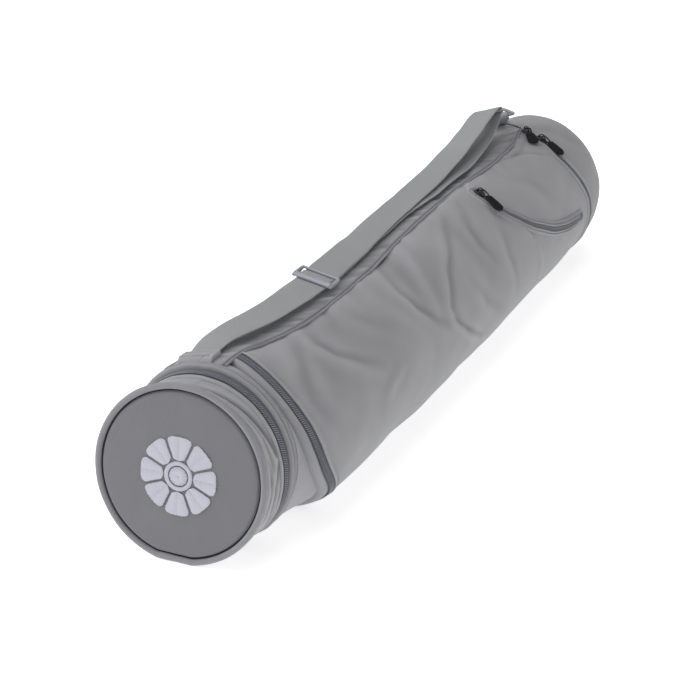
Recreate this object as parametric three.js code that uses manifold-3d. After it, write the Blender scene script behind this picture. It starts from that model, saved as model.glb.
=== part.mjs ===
// A zipped carrying bag for a rolled yoga mat: a soft tube lying on its side, with a stiff
// round base, two hoop zips beside it, a long opening zip and a pocket zip at the far end,
// and a webbing shoulder strap along the top. Millimetres, +Z up, base disc towards -X.
import * as THREE from 'three';
import { mergeVertices } from 'three/addons/utils/BufferGeometryUtils.js';
import Module from 'manifold-3d';

const wasm = await Module();
wasm.setup();

// Bag
const discDiameter = 160;
const tubeLength = 742;
const endReach = 20;
const endSlant = 11;
const clothWall = 2;
const boardThickness = 3.2;
const sewnGap = 0.4;
const edgeSink = 0.6;
const zipEdgeSink = 0.4;
const bandSag = 1;
const gatherDepth = 0.9;

// Hoops and seams
const pipingDiameter = 5.6;
const seamCordDiameter = 3;
const seamAllowance = 2.7;
const spineWidth = 56;
const baseZipAlong = 38;
const weltWidth = 6;
const weltRise = 2;
const foldedTapeWidth = 5;
const gussetTuck = 5;

// Zips
const zipTapeWidth = 10;
const coilWidth = 4;
const coilRise = 1.4;
const zipThickness = 1.6;
const expansionZipRise = 0.6;
const mainZipRise = 0.4;
const pocketZipUnderside = 0.9;
const pocketZipWidth = 8.5;
const pocketZipRise = 3.1;

// Zip sliders and pullers
const sliderLength = 11;
const sliderWidth = 8.6;
const sliderHeight = 2.4;
const bridgeWidth = 2;
const bridgeSpan = 6;
const bridgeClearHeight = 3.4;
const pivotHeight = 2.2;
const bridgeWall = 1.1;
const pullerWidth = 9;
const pullerThickness = 1.5;
const pullerWindow = 7.4;
const pullerArm = 1.6;
const gripWidth = 12;
const gripThickness = 2.4;
const gripBevel = 0.5;
const gripGap = 0.3;
const mainPullerLength = 30;
const pocketPullerLength = 31;
const runningGap = 0.5;
const sliderSeat = 0.4;

// Strap and its fittings
const webbingWidth = 31;
const webbingThickness = 1.4;
const buckleLength = 20.5;
const buckleRail = 2.6;
const bucklePlay = 1.9;
const buckleFrontBar = 4.6;
const buckleBar = 2.8;
const buckleThickness = 4.4;
const ringOuterHeight = 26;
const ringWire = 3.4;
const ringPlay = 1.1;
const patchHem = 3;
const patchLength = 15;
const stationSpacing = 17;
const tabWidth = 24;

// Stitched rosette on the base
const rosetteDiameter = 70;
const rosettePetals = 8;
const rosetteWaist = 0.45;
const threadRise = 0.8;
const threadSeat = 0.3;

const buckleWidth = webbingWidth + 2 * (bucklePlay + buckleRail);
const ringOuterWidth = webbingWidth + 2 * (ringPlay + ringWire);

// Steps round a hoop and round a panel
const hoopSteps = 40;
const panelSteps = 30;

const baseRadius = discDiameter / 2;
const degrees = Math.PI / 180;

// Cross-sections of the tube. along is a share of the tube's length, the others are shares of
// the base's radius: aside moves the centre towards +Y, wide and tall are the half sizes, and
// press is how much the floor flattens the underside.
const sections = [
  { along: -0.030, aside: 0.238, wide: 1.000, tall: 1.000, press: 0.020 },
  { along: 0.000, aside: 0.238, wide: 1.000, tall: 1.000, press: 0.020 },
  { along: 0.050, aside: 0.206, wide: 0.965, tall: 0.965, press: 0.022 },
  { along: 0.073, aside: 0.200, wide: 1.010, tall: 0.995, press: 0.024 },
  { along: 0.101, aside: 0.150, wide: 1.050, tall: 0.998, press: 0.028 },
  { along: 0.141, aside: 0.056, wide: 1.125, tall: 1.005, press: 0.032 },
  { along: 0.254, aside: 0.010, wide: 1.096, tall: 1.005, press: 0.034 },
  { along: 0.446, aside: 0.005, wide: 1.080, tall: 0.998, press: 0.034 },
  { along: 0.635, aside: 0.008, wide: 1.056, tall: 0.990, press: 0.034 },
  { along: 0.790, aside: 0.025, wide: 1.026, tall: 0.988, press: 0.034 },
  { along: 0.932, aside: 0.045, wide: 1.000, tall: 0.990, press: 0.032 },
  { along: 1.030, aside: 0.060, wide: 0.985, tall: 0.995, press: 0.030 },
];

// Lines along the top, as places across the bag in base radii: side is the spine panel's right
// edge, and strap the middle of the strap
const spineLines = [
  { along: 0.040, side: 0.100, strap: 0.450 },
  { along: 0.113, side: 0.100, strap: 0.450 },
  { along: 0.148, side: -0.025, strap: 0.325 },
  { along: 0.216, side: -0.150, strap: 0.200 },
  { along: 0.365, side: -0.162, strap: 0.188 },
  { along: 0.513, side: -0.050, strap: 0.300 },
  { along: 0.648, side: -0.010, strap: 0.350 },
  { along: 0.800, side: -0.060, strap: 0.370 },
  { along: 0.846, side: -0.035, strap: 0.395 },
  { along: 0.873, side: 0.005, strap: 0.430 },
  { along: 0.905, side: 0.070, strap: 0.480 },
  { along: 0.945, side: 0.130, strap: 0.560 },
  { along: 1.000, side: 0.160, strap: 0.600 },
];

// Two zip lines round the bag. angle runs from the top, down the side that faces -Y, under
// the bag and up the other side. ahead is in base radii, from the zip's own place.
const expansionZipAlong = 80;
const expansionZipLine = [
  { angle: 0, ahead: 0.000 },
  { angle: 20, ahead: -0.085 },
  { angle: 36, ahead: -0.125 },
  { angle: 52, ahead: -0.130 },
  { angle: 67, ahead: -0.100 },
  { angle: 82, ahead: -0.060 },
  { angle: 98, ahead: 0.025 },
  { angle: 129, ahead: 0.290 },
  { angle: 165, ahead: 0.400 },
  { angle: 210, ahead: 0.350 },
  { angle: 250, ahead: 0.200 },
  { angle: 290, ahead: 0.100 },
  { angle: 330, ahead: 0.025 },
  { angle: 360, ahead: 0.000 },
];
const mainZipAlong = 0.955 * tubeLength;
const mainZipLine = [
  { angle: -6, ahead: -0.330 },
  { angle: 4, ahead: -0.445 },
  { angle: 11, ahead: -0.480 },
  { angle: 18, ahead: -0.500 },
  { angle: 27, ahead: -0.535 },
  { angle: 35, ahead: -0.570 },
  { angle: 42, ahead: -0.565 },
  { angle: 50, ahead: -0.535 },
  { angle: 66, ahead: -0.435 },
  { angle: 82, ahead: -0.320 },
  { angle: 120, ahead: -0.230 },
  { angle: 180, ahead: -0.150 },
  { angle: 250, ahead: -0.080 },
  { angle: 310, ahead: -0.020 },
  { angle: 332, ahead: -0.080 },
  { angle: 354, ahead: -0.330 },
];

// The pocket's zip, a shallow smile on the side that faces -Y
const pocketZipLine = [
  { share: 0.000, along: 0.686, angle: 8 },
  { share: 0.080, along: 0.671, angle: 17 },
  { share: 0.178, along: 0.669, angle: 32 },
  { share: 0.254, along: 0.680, angle: 43 },
  { share: 0.401, along: 0.713, angle: 59 },
  { share: 0.502, along: 0.740, angle: 67 },
  { share: 0.617, along: 0.771, angle: 75 },
  { share: 0.716, along: 0.800, angle: 80 },
  { share: 0.818, along: 0.830, angle: 84 },
  { share: 1.000, along: 0.885, angle: 88 },
];

// Broad folds in the main panel: place, direction in degrees from the bag's length, and
// length, breadth and depth in base radii. A negative depth is a ridge.
const folds = [
  { along: 0.235, angle: 26, turn: 58, length: 0.85, breadth: 0.32, depth: 0.045 },
  { along: 0.175, angle: 34, turn: -72, length: 0.80, breadth: 0.28, depth: 0.030 },
  { along: 0.415, angle: 30, turn: 70, length: 0.80, breadth: 0.32, depth: 0.045 },
  { along: 0.500, angle: 24, turn: 60, length: 0.80, breadth: 0.30, depth: -0.030 },
  { along: 0.570, angle: 50, turn: -80, length: 1.10, breadth: 0.30, depth: 0.045 },
  { along: 0.330, angle: 66, turn: -78, length: 0.80, breadth: 0.32, depth: -0.030 },
  { along: 0.300, angle: 118, turn: 70, length: 0.70, breadth: 0.34, depth: 0.030 },
  { along: 0.480, angle: 250, turn: -70, length: 0.90, breadth: 0.34, depth: 0.045 },
  { along: 0.680, angle: 285, turn: 64, length: 0.90, breadth: 0.32, depth: 0.040 },
  { along: 0.250, angle: 290, turn: 72, length: 0.90, breadth: 0.32, depth: 0.040 },
];

// Where the sliders sit, in degrees round the main zip or as a share of the pocket zip, and how
// their pullers lie: turned aside from the zip, and drooping towards the cloth, in degrees
const firstPull = { at: 4, turn: -24, droop: 8 };
const secondPull = { at: 18, turn: 4, droop: 12 };
const pocketPull = { at: 0.09, turn: 0, droop: 9 };

// The strap's route, from its sewn end to the buckle, from there to the ring, and from the
// ring back beneath itself to the buckle. along is in tube lengths, lift is above the spine panel
// and in base radii, roll in degrees lowers the edge that faces -Y, and shift moves the strap
// towards -Y, in base radii.
const strapRise = [
  { along: 0.1210, lift: 0.085, roll: -11 },
  { along: 0.1420, lift: 0.118, roll: -4 },
  { along: 0.1900, lift: 0.110, roll: 2 },
  { along: 0.2400, lift: 0.105, roll: 5 },
  { along: 0.2800, lift: 0.105, roll: 7 },
];
const buckleAlong = 0.3073;
const buckleLift = 0.112;
const buckleRoll = 8;
const strapReach = [
  { along: 0.3350, lift: 0.105, roll: 8 },
  { along: 0.3800, lift: 0.105, roll: 4 },
  { along: 0.4800, lift: 0.100, roll: 0 },
  { along: 0.6000, lift: 0.105, roll: -2 },
  { along: 0.6800, lift: 0.150, roll: -6 },
  { along: 0.7400, lift: 0.230, roll: -12 },
  { along: 0.8000, lift: 0.340, roll: -18 },
  { along: 0.8550, lift: 0.435, roll: -21 },
];
const strapReturn = [
  { along: 0.8550, lift: 0.200, roll: -20, shift: 0.030 },
  { along: 0.8000, lift: 0.115, roll: -15, shift: 0.090 },
  { along: 0.7400, lift: 0.060, roll: -11, shift: 0.110 },
  { along: 0.6600, lift: 0.040, roll: -10, shift: 0.080 },
  { along: 0.5600, lift: 0.036, roll: -11, shift: 0.030 },
  { along: 0.4600, lift: 0.036, roll: -11 },
  { along: 0.3800, lift: 0.036, roll: -10 },
  { along: 0.3450, lift: 0.040, roll: -5 },
  { along: 0.3200, lift: 0.052, roll: 4 },
];
const ringAlong = 0.888;
const ringLift = 0.350;
const ringRoll = -22;
const ringDip = 32;

// Materials
function fabric(color) {
  return new THREE.MeshStandardMaterial({ color, roughness: 0.9, metalness: 0 });
}
const bagCloth = fabric(0x8f8f92);
const baseCloth = fabric(0x7e7e82);
const edgeCloth = fabric(0x858588);
const webbing = fabric(0x8f9494);
const zipCloth = fabric(0x62626e);
const thread = fabric(0xb9b9c8);
const paleNylon = new THREE.MeshStandardMaterial({ color: 0x9a9ca2, roughness: 0.45, metalness: 0 });
const blackMetal = new THREE.MeshStandardMaterial({ color: 0x1b1b1d, roughness: 0.35, metalness: 0.8 });
const blackRubber = new THREE.MeshStandardMaterial({ color: 0x232325, roughness: 0.7, metalness: 0 });

// Value of a table's column between its rows, on a smooth curve through them
function read(rows, key, column, at) {
  const last = rows.length - 1;
  let i = 0;
  while (i < last - 1 && at > rows[i + 1][key]) i += 1;
  const [a, b] = [rows[i], rows[i + 1]];
  const before = rows[Math.max(i - 1, 0)];
  const after = rows[Math.min(i + 2, last)];
  const span = b[key] - a[key];
  const t = THREE.MathUtils.clamp((at - a[key]) / span, 0, 1);
  const slopeA = ((b[column] - before[column]) / (b[key] - before[key])) * span;
  const slopeB = ((after[column] - a[column]) / (after[key] - a[key])) * span;
  const t2 = t * t;
  const t3 = t2 * t;
  const start = (2 * t3 - 3 * t2 + 1) * a[column] + (t3 - 2 * t2 + t) * slopeA;
  return start + (3 * t2 - 2 * t3) * b[column] + (t3 - t2) * slopeB;
}

function sectionAt(x) {
  const size = (column) => read(sections, 'along', column, x / tubeLength) * baseRadius;
  return { aside: size('aside'), wide: size('wide'), tall: size('tall'), press: size('press') };
}

// A point on the tube: angle runs from the top towards -Y, rise is outwards from the cloth
function onTube(x, angle, rise) {
  const { aside, wide, tall, press } = sectionAt(x);
  const y = aside - (wide + rise) * Math.sin(angle * degrees);
  const z = tall - press + (tall + rise) * Math.cos(angle * degrees);
  return new THREE.Vector3(x, y, Math.max(z, -rise, 0));
}

// How deep the folds press the cloth in at a place
function foldDepth(x, angle) {
  let depth = 0;
  for (const fold of folds) {
    const across = (((angle - fold.angle + 540) % 360) - 180) * degrees * baseRadius;
    const ahead = x - fold.along * tubeLength;
    const [c, s] = [Math.cos(fold.turn * degrees), Math.sin(fold.turn * degrees)];
    const lengthwise = (ahead * c + across * s) / (fold.length * baseRadius);
    const sideways = (across * c - ahead * s) / (fold.breadth * baseRadius);
    depth += fold.depth * baseRadius * Math.exp(-4 * lengthwise ** 2 - sideways ** 2);
  }
  return depth;
}

// Where the spine panel's edges lie, as angles from the top
function spineAngle(x, acrossSpine) {
  const { aside, wide } = sectionAt(x);
  const side = read(spineLines, 'along', 'side', x / tubeLength) * baseRadius;
  return Math.asin((aside - side - acrossSpine) / wide) / degrees;
}

// The base's hoops lie in planes that lean back at the top and swing round a little
const discLean = 0.178;
const discSwing = 0.093;
const zipLean = 0.090;
const zipSwing = 0.028;
function onHoop(along, lean, swing, angle, rise) {
  const { aside, tall, press } = sectionAt(along);
  const p = onTube(along, angle, rise);
  p.x = along + lean * (p.z - tall + press) - swing * (p.y - aside);
  return p;
}
function aheadOf(rows, angle) {
  const start = rows[0].angle;
  const turned = start + THREE.MathUtils.euclideanModulo(angle - start, 360);
  return read(rows, 'angle', 'ahead', turned) * baseRadius;
}
const discLine = (angle) => onHoop(0, discLean, discSwing, angle, 0).x;
const baseZip = (angle) => onHoop(baseZipAlong, zipLean, zipSwing, angle, 0).x;
const expansionZip = (angle) => expansionZipAlong + aheadOf(expansionZipLine, angle);
const mainZip = (angle) => mainZipAlong + aheadOf(mainZipLine, angle);

// Closed body between two skins. outer(i, k) and inner(i, k) give points for i steps one way
// and k steps the other; wraps joins the last i step to the first.
function slab(stepsI, stepsK, outer, inner, wraps) {
  const points = [];
  const faces = [];
  const rowsI = wraps ? stepsI : stepsI + 1;
  for (const side of [outer, inner]) {
    for (let i = 0; i < rowsI; i += 1) {
      for (let k = 0; k <= stepsK; k += 1) points.push(side(i, k));
    }
  }
  const id = (side, i, k) => side * rowsI * (stepsK + 1) + (i % rowsI) * (stepsK + 1) + k;
  const quad = (a, b, c, d) => faces.push(a, b, c, a, c, d);
  for (let i = 0; i < stepsI; i += 1) {
    for (let k = 0; k < stepsK; k += 1) {
      quad(id(0, i, k), id(0, i + 1, k), id(0, i + 1, k + 1), id(0, i, k + 1));
      quad(id(1, i, k), id(1, i, k + 1), id(1, i + 1, k + 1), id(1, i + 1, k));
    }
    quad(id(0, i, 0), id(1, i, 0), id(1, i + 1, 0), id(0, i + 1, 0));
    quad(id(0, i, stepsK), id(0, i + 1, stepsK), id(1, i + 1, stepsK), id(1, i, stepsK));
  }
  if (!wraps) {
    for (let k = 0; k < stepsK; k += 1) {
      quad(id(0, 0, k), id(0, 0, k + 1), id(1, 0, k + 1), id(1, 0, k));
      quad(id(0, stepsI, k), id(1, stepsI, k), id(1, stepsI, k + 1), id(0, stepsI, k + 1));
    }
  }
  return closedBody(points, faces);
}

// Geometry from points and faces, with shared corners merged, faces of no size left out and
// the faces turned outwards
function closedBody(points, faces) {
  const geometry = new THREE.BufferGeometry().setFromPoints(points);
  geometry.setIndex(faces);
  const merged = mergeVertices(geometry, 1e-3);
  const index = merged.index.array;
  const kept = [];
  let volume = 0;
  const [a, b, c] = [new THREE.Vector3(), new THREE.Vector3(), new THREE.Vector3()];
  for (let f = 0; f < index.length; f += 3) {
    const [p, q, r] = [index[f], index[f + 1], index[f + 2]];
    if (p === q || q === r || r === p) continue;
    kept.push(p, q, r);
    a.fromBufferAttribute(merged.attributes.position, p);
    b.fromBufferAttribute(merged.attributes.position, q);
    c.fromBufferAttribute(merged.attributes.position, r);
    volume += a.dot(b.cross(c));
  }
  if (volume < 0) {
    for (let f = 0; f < kept.length; f += 3) [kept[f], kept[f + 1]] = [kept[f + 1], kept[f]];
  }
  merged.setIndex(kept);
  merged.computeVertexNormals();
  return merged;
}

function toManifold(geometry) {
  const bare = geometry.clone();
  bare.deleteAttribute('normal');
  bare.deleteAttribute('uv');
  const merged = mergeVertices(bare, 1e-3);
  return new wasm.Manifold(new wasm.Mesh({
    numProp: 3,
    vertProperties: new Float32Array(merged.attributes.position.array),
    triVerts: new Uint32Array(merged.index.array),
  }));
}

function fromManifold(solid) {
  const mesh = solid.getMesh();
  const geometry = new THREE.BufferGeometry();
  geometry.setAttribute('position', new THREE.BufferAttribute(mesh.vertProperties, 3));
  geometry.setIndex(new THREE.BufferAttribute(mesh.triVerts, 1));
  geometry.computeVertexNormals();
  return geometry;
}

function join(geometries) {
  return fromManifold(geometries.map(toManifold).reduce((whole, next) => whole.add(next)));
}

const bag = new THREE.Group();

function piece(name, geometry, material, parent = bag) {
  const mesh = new THREE.Mesh(geometry, material);
  mesh.name = name;
  parent.add(mesh);
  return mesh;
}

// A band of cloth or zip round the tube. Each row of the profile lies a share of the way from
// one line to the next, ahead of that by some millimetres, with a top and an underside. The
// sector gives its first and last edge as distances across the spine panel, and how far the
// last one is turned on; without a sector the band is a whole hoop.
function band({ from, to, profile, steps, sector, folded = false, gathered = 0 }) {
  const point = (surface) => (i, k) => {
    const row = profile[k];
    const place = (turn) => THREE.MathUtils.lerp(from(turn), to(turn), row.share) + row.ahead;
    const angle = sector ? sectorAngle(place, sector, i / steps) : (360 * i) / steps;
    const x = place(angle);
    const fold = folded ? foldDepth(x, angle) * edgeCalm(row.share) : 0;
    const gather = gathered * Math.sin(2.1 * k) * Math.sin((Math.PI * i) / steps);
    return onTube(x, angle, row[surface] - fold - gather);
  };
  return slab(steps, profile.length - 1, point('top'), point('under'), !sector);
}

// The angle that lies a share of the way through a sector, on a line whose place varies round
// the tube
function sectorAngle(place, sector, share) {
  let x = place(0);
  let angle = 0;
  for (let pass = 0; pass < 5; pass += 1) {
    const last = spineAngle(x, sector.last) + sector.turn;
    angle = THREE.MathUtils.lerp(spineAngle(x, sector.first), last, share);
    x = place(angle);
  }
  return angle;
}
const roundTheBag = { first: -seamAllowance, last: spineWidth + seamAllowance, turn: 360 };
const acrossTheSpine = { first: spineWidth - seamAllowance, last: seamAllowance, turn: 0 };

// Folds die out towards the sewn edges of a panel
function edgeCalm(share) {
  return Math.min(1, 12 * share) * Math.min(1, 12 * (1 - share));
}

function zipProfile(width, rise) {
  const [edge, coil] = [width / 2, coilWidth / 2];
  const tape = rise - coilRise;
  const row = (ahead, top) => ({ share: 0, ahead, top, under: tape - zipThickness });
  return [row(-edge, tape), row(-coil, rise), row(coil, rise), row(edge, tape)];
}

// Base: stiff round board in its bound edge, and the stitched rosette at its middle
function onDisc(angle, rise, ahead) {
  const p = onHoop(0, discLean, discSwing, angle, rise);
  p.x += ahead;
  return p;
}

function baseDisc() {
  const steps = hoopSteps;
  const rings = [0, 0.5, 1];
  const face = (ahead) => {
    const rim = (angle) => onDisc(angle, -pipingDiameter - sewnGap, ahead);
    const middle = new THREE.Vector3();
    for (let i = 0; i < steps; i += 1) middle.addScaledVector(rim((360 * i) / steps), 1 / steps);
    return (i, k) => middle.clone().lerp(rim((360 * i) / steps), rings[k]);
  };
  return slab(steps, rings.length - 1, face(-boardThickness / 2), face(boardThickness / 2), true);
}

function basePiping() {
  const [steps, sides] = [hoopSteps, 6];
  const half = pipingDiameter / 2;
  const surface = (side) => (i, k) => {
    const turn = (Math.PI * k) / (sides / 2);
    const rise = -half + side * half * Math.sin(turn);
    return onDisc((360 * i) / steps, rise, -half * Math.cos(turn));
  };
  return slab(steps, sides / 2, surface(1), surface(-1), true);
}

function discFrame() {
  const centre = sectionAt(0);
  const frame = new THREE.Group();
  const outward = new THREE.Vector3(-1, -discSwing, discLean).normalize();
  const up = new THREE.Vector3(0, 0, 1).addScaledVector(outward, -outward.z).normalize();
  const right = new THREE.Vector3().crossVectors(up, outward);
  frame.matrix.makeBasis(right, up, outward);
  frame.matrix.setPosition(0, centre.aside, centre.tall - centre.press);
  frame.matrix.decompose(frame.position, frame.quaternion, frame.scale);
  return frame;
}

function rosette() {
  const steps = 12 * rosettePetals;
  const points = Array.from({ length: steps }, (_, i) => {
    const turn = (2 * Math.PI * i) / steps;
    const reach = rosetteWaist + (1 - rosetteWaist) * Math.abs(Math.cos((turn * rosettePetals) / 2)) ** 0.6;
    const r = reach * rosetteDiameter / 2;
    return new THREE.Vector2(r * Math.sin(turn), r * Math.cos(turn));
  });
  return new THREE.ExtrudeGeometry(new THREE.Shape(points), { depth: threadRise, bevelEnabled: false });
}

piece('base_disc', baseDisc(), baseCloth);
piece('base_piping', basePiping(), edgeCloth);
const disc = discFrame();
bag.add(disc);
const stitching = piece('base_rosette', rosette(), thread, disc);
stitching.position.z = boardThickness / 2 + threadSeat;

// Base band, its zip and the welt behind it
const bandFront = (pipingDiameter + clothWall / 3) / 2 + sewnGap;
const zipHalf = zipTapeWidth / 2;
piece('base_band', band({
  from: discLine,
  to: baseZip,
  profile: [
    { share: 0, ahead: bandFront, top: -edgeSink, under: -edgeSink - clothWall },
    { share: 0.55, ahead: 0, top: -bandSag, under: -bandSag - clothWall },
    { share: 1, ahead: -zipHalf - sewnGap, top: -zipEdgeSink, under: -zipEdgeSink - clothWall },
  ],
  steps: hoopSteps,
}), bagCloth);
piece('base_zip', band({
  from: baseZip,
  to: baseZip,
  profile: zipProfile(zipTapeWidth, 0),
  steps: hoopSteps,
}), zipCloth);
const weltStart = zipHalf + sewnGap;
const weltRows = [0, 0.3, 0.7, 1];
piece('base_welt', band({
  from: baseZip,
  to: baseZip,
  profile: weltRows.map((share) => ({
    share: 0,
    ahead: weltStart + share * weltWidth,
    top: weltRise * Math.sin(Math.PI * share) - edgeSink,
    under: -edgeSink - clothWall,
  })),
  steps: hoopSteps,
}), bagCloth);
const weltEnd = weltStart + weltWidth + sewnGap;

// Gusset, expansion zip with its folded front tape, and the main panel
const foldStart = -zipHalf - foldedTapeWidth;
const gussetMiddle = gussetTuck * 0.6;
piece('gusset', band({
  from: baseZip,
  to: expansionZip,
  profile: [
    { share: 0, ahead: weltEnd, top: -zipEdgeSink, under: -zipEdgeSink - clothWall },
    { share: 0.5, ahead: (weltEnd + foldStart) / 2, top: -gussetMiddle, under: -gussetMiddle - clothWall },
    { share: 1, ahead: foldStart - sewnGap, top: -gussetTuck, under: -gussetTuck - clothWall },
  ],
  steps: panelSteps,
  sector: roundTheBag,
}), bagCloth);
const tapeTuck = gussetTuck - 0.2;
piece('expansion_zip', band({
  from: expansionZip,
  to: expansionZip,
  profile: [
    { share: 0, ahead: foldStart, top: -tapeTuck, under: -tapeTuck - zipThickness },
    {
      share: 0,
      ahead: foldStart + foldedTapeWidth / 2,
      top: -edgeSink,
      under: -edgeSink - 2 * zipThickness,
    },
    ...zipProfile(zipTapeWidth, expansionZipRise),
  ],
  steps: panelSteps,
  sector: roundTheBag,
}), zipCloth);
const panelShares = Array.from({ length: 19 }, (_, k) => k / 18);
piece('main_panel', band({
  from: expansionZip,
  to: mainZip,
  profile: panelShares.map((share) => ({
    share,
    ahead: (1 - 2 * share) * (zipHalf + sewnGap),
    top: 0,
    under: -clothWall,
  })),
  steps: panelSteps,
  sector: roundTheBag,
  folded: true,
}), bagCloth);
piece('main_zip', band({
  from: mainZip,
  to: mainZip,
  profile: zipProfile(zipTapeWidth, mainZipRise),
  steps: panelSteps,
  sector: roundTheBag,
}), zipCloth);

// Spine panel along the top, with a thin cord in the seam on either side
const spineShares = Array.from({ length: 25 }, (_, k) => k / 24);
const spineEnd = zipHalf - seamCordDiameter / 2;
const spineEnds = (share) => THREE.MathUtils.lerp(weltEnd, spineEnd, share);
const cordEnds = (share) => THREE.MathUtils.lerp(weltEnd + 0.6, spineEnd - seamCordDiameter, share);
piece('spine_panel', band({
  from: baseZip,
  to: mainZip,
  profile: spineShares.map((share) => ({ share, ahead: spineEnds(share), top: 0, under: -clothWall })),
  steps: 3,
  sector: acrossTheSpine,
  gathered: gatherDepth,
}), bagCloth);
function seamCord(side) {
  const [steps, sides] = [28, 6];
  const half = seamCordDiameter / 2;
  const surface = (way) => (i, k) => {
    const share = i / steps;
    const turn = (Math.PI * k) / (sides / 2);
    const place = (angle) => THREE.MathUtils.lerp(baseZip(angle), mainZip(angle), share) + cordEnds(share);
    let x = place(0);
    for (let pass = 0; pass < 3; pass += 1) x = place(spineAngle(x, side));
    return onTube(x, spineAngle(x, side - half * Math.cos(turn)), way * half * Math.sin(turn));
  };
  return slab(steps, sides / 2, surface(1), surface(-1), false);
}
piece('spine_cord_right', seamCord(0), edgeCloth);
piece('spine_cord_left', seamCord(spineWidth), edgeCloth);

// Soft end beyond the opening zip, closed like a cup
const endRows = [
  { share: 0.00, shrink: 0.000 },
  { share: 0.22, shrink: 0.004 },
  { share: 0.45, shrink: 0.024 },
  { share: 0.65, shrink: 0.075 },
  { share: 0.80, shrink: 0.165 },
  { share: 0.92, shrink: 0.350 },
  { share: 0.98, shrink: 0.680 },
  { share: 1.00, shrink: 1.000 },
];
function endCap() {
  const acrossSteps = 4;
  const steps = panelSteps + acrossSteps;
  const start = (angle) => mainZip(angle) + zipHalf + sewnGap;
  const [first, last] = [0, 1].map((share) => sectorAngle(start, roundTheBag, share));
  const angleOf = (i) => {
    if (i <= panelSteps) return sectorAngle(start, roundTheBag, i / panelSteps);
    return THREE.MathUtils.lerp(last, first + 360, (i - panelSteps) / acrossSteps);
  };
  const surface = (inset) => (i, k) => {
    const row = endRows[k];
    const angle = angleOf(i);
    const lean = endSlant * Math.cos(angle * degrees) * (1 - row.shrink);
    const x = THREE.MathUtils.lerp(start(angle), tubeLength + endReach + lean - inset, row.share);
    const { aside, tall, press } = sectionAt(x);
    const p = onTube(x, angle, -inset);
    p.y = THREE.MathUtils.lerp(p.y, aside, row.shrink);
    p.z = THREE.MathUtils.lerp(p.z, tall - press, row.shrink);
    return p;
  };
  return slab(steps, endRows.length - 1, surface(0), surface(clothWall), true);
}
piece('end_cap', endCap(), bagCloth);

// Pocket zip, laid on the main panel
function pocketZipAt(share) {
  const x = read(pocketZipLine, 'share', 'along', share) * tubeLength;
  return { x, angle: read(pocketZipLine, 'share', 'angle', share) };
}
function onPanel(x, angle, rise) {
  const share = (x - expansionZip(angle)) / (mainZip(angle) - expansionZip(angle));
  return onTube(x, angle, rise - foldDepth(x, angle) * edgeCalm(share));
}
function pocketZip() {
  const steps = 20;
  const rows = zipProfile(pocketZipWidth, 0);
  const surface = (column) => (i, k) => {
    const here = pocketZipAt(i / steps);
    const [a, b] = [pocketZipAt(Math.max(0, i / steps - 0.02)), pocketZipAt(Math.min(1, i / steps + 0.02))];
    const arc = degrees * baseRadius;
    const ahead = new THREE.Vector2(b.x - a.x, (b.angle - a.angle) * arc).normalize();
    const x = here.x + rows[k].ahead * ahead.y;
    const angle = here.angle - (rows[k].ahead * ahead.x) / arc;
    const rise = column === 'top' ? rows[k].top + pocketZipRise : pocketZipUnderside;
    return onPanel(x, angle, rise);
  };
  return slab(steps, rows.length - 1, surface('top'), surface('under'), false);
}
piece('pocket_zip', pocketZip(), zipCloth);

// A place over the strap's line, and the direction across the strap towards -Y once it is rolled
const strapSide = (x) => read(spineLines, 'along', 'strap', x / tubeLength) * baseRadius;
function strapAngle(x, across) {
  const { aside, wide } = sectionAt(x);
  return Math.asin((aside - strapSide(x) - across) / wide) / degrees;
}
function overSpine(row) {
  const x = row.along * tubeLength;
  const p = onTube(x, strapAngle(x, -(row.shift ?? 0) * baseRadius), 0);
  p.z += row.lift * baseRadius;
  return p;
}
function acrossAt(roll) {
  return new THREE.Vector3(0, -Math.cos(roll * degrees), -Math.sin(roll * degrees));
}

// Flat webbing laid along stations of a middle point and a direction across
function webbingAlong(stations, width) {
  const up = stations.map((station, i) => {
    const before = stations[Math.max(0, i - 1)].middle;
    const after = stations[Math.min(stations.length - 1, i + 1)].middle;
    const ahead = new THREE.Vector3().subVectors(after, before);
    return new THREE.Vector3().crossVectors(station.across, ahead).normalize();
  });
  const surface = (side) => (i, k) => {
    const half = side * webbingThickness / 2;
    const out = stations[i].middle.clone().addScaledVector(up[i], half);
    return out.addScaledVector(stations[i].across, (k - 0.5) * width);
  };
  return slab(stations.length - 1, 1, surface(1), surface(-1), false);
}

// Stations on a smooth curve through the route's rows, with the roll following along
function stationsOn(route) {
  const curve = new THREE.CatmullRomCurve3(route.map((row) => row.middle), false, 'centripetal');
  const stations = [];
  for (let row = 0; row < route.length - 1; row += 1) {
    const length = route[row].middle.distanceTo(route[row + 1].middle);
    const steps = Math.ceil(length / stationSpacing);
    for (let i = 0; i < steps; i += 1) {
      const roll = THREE.MathUtils.lerp(route[row].roll, route[row + 1].roll, i / steps);
      const middle = curve.getPoint((row + i / steps) / (route.length - 1));
      stations.push({ middle, across: acrossAt(roll) });
    }
  }
  const end = route[route.length - 1];
  stations.push({ middle: end.middle, across: acrossAt(end.roll) });
  return stations;
}

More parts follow.
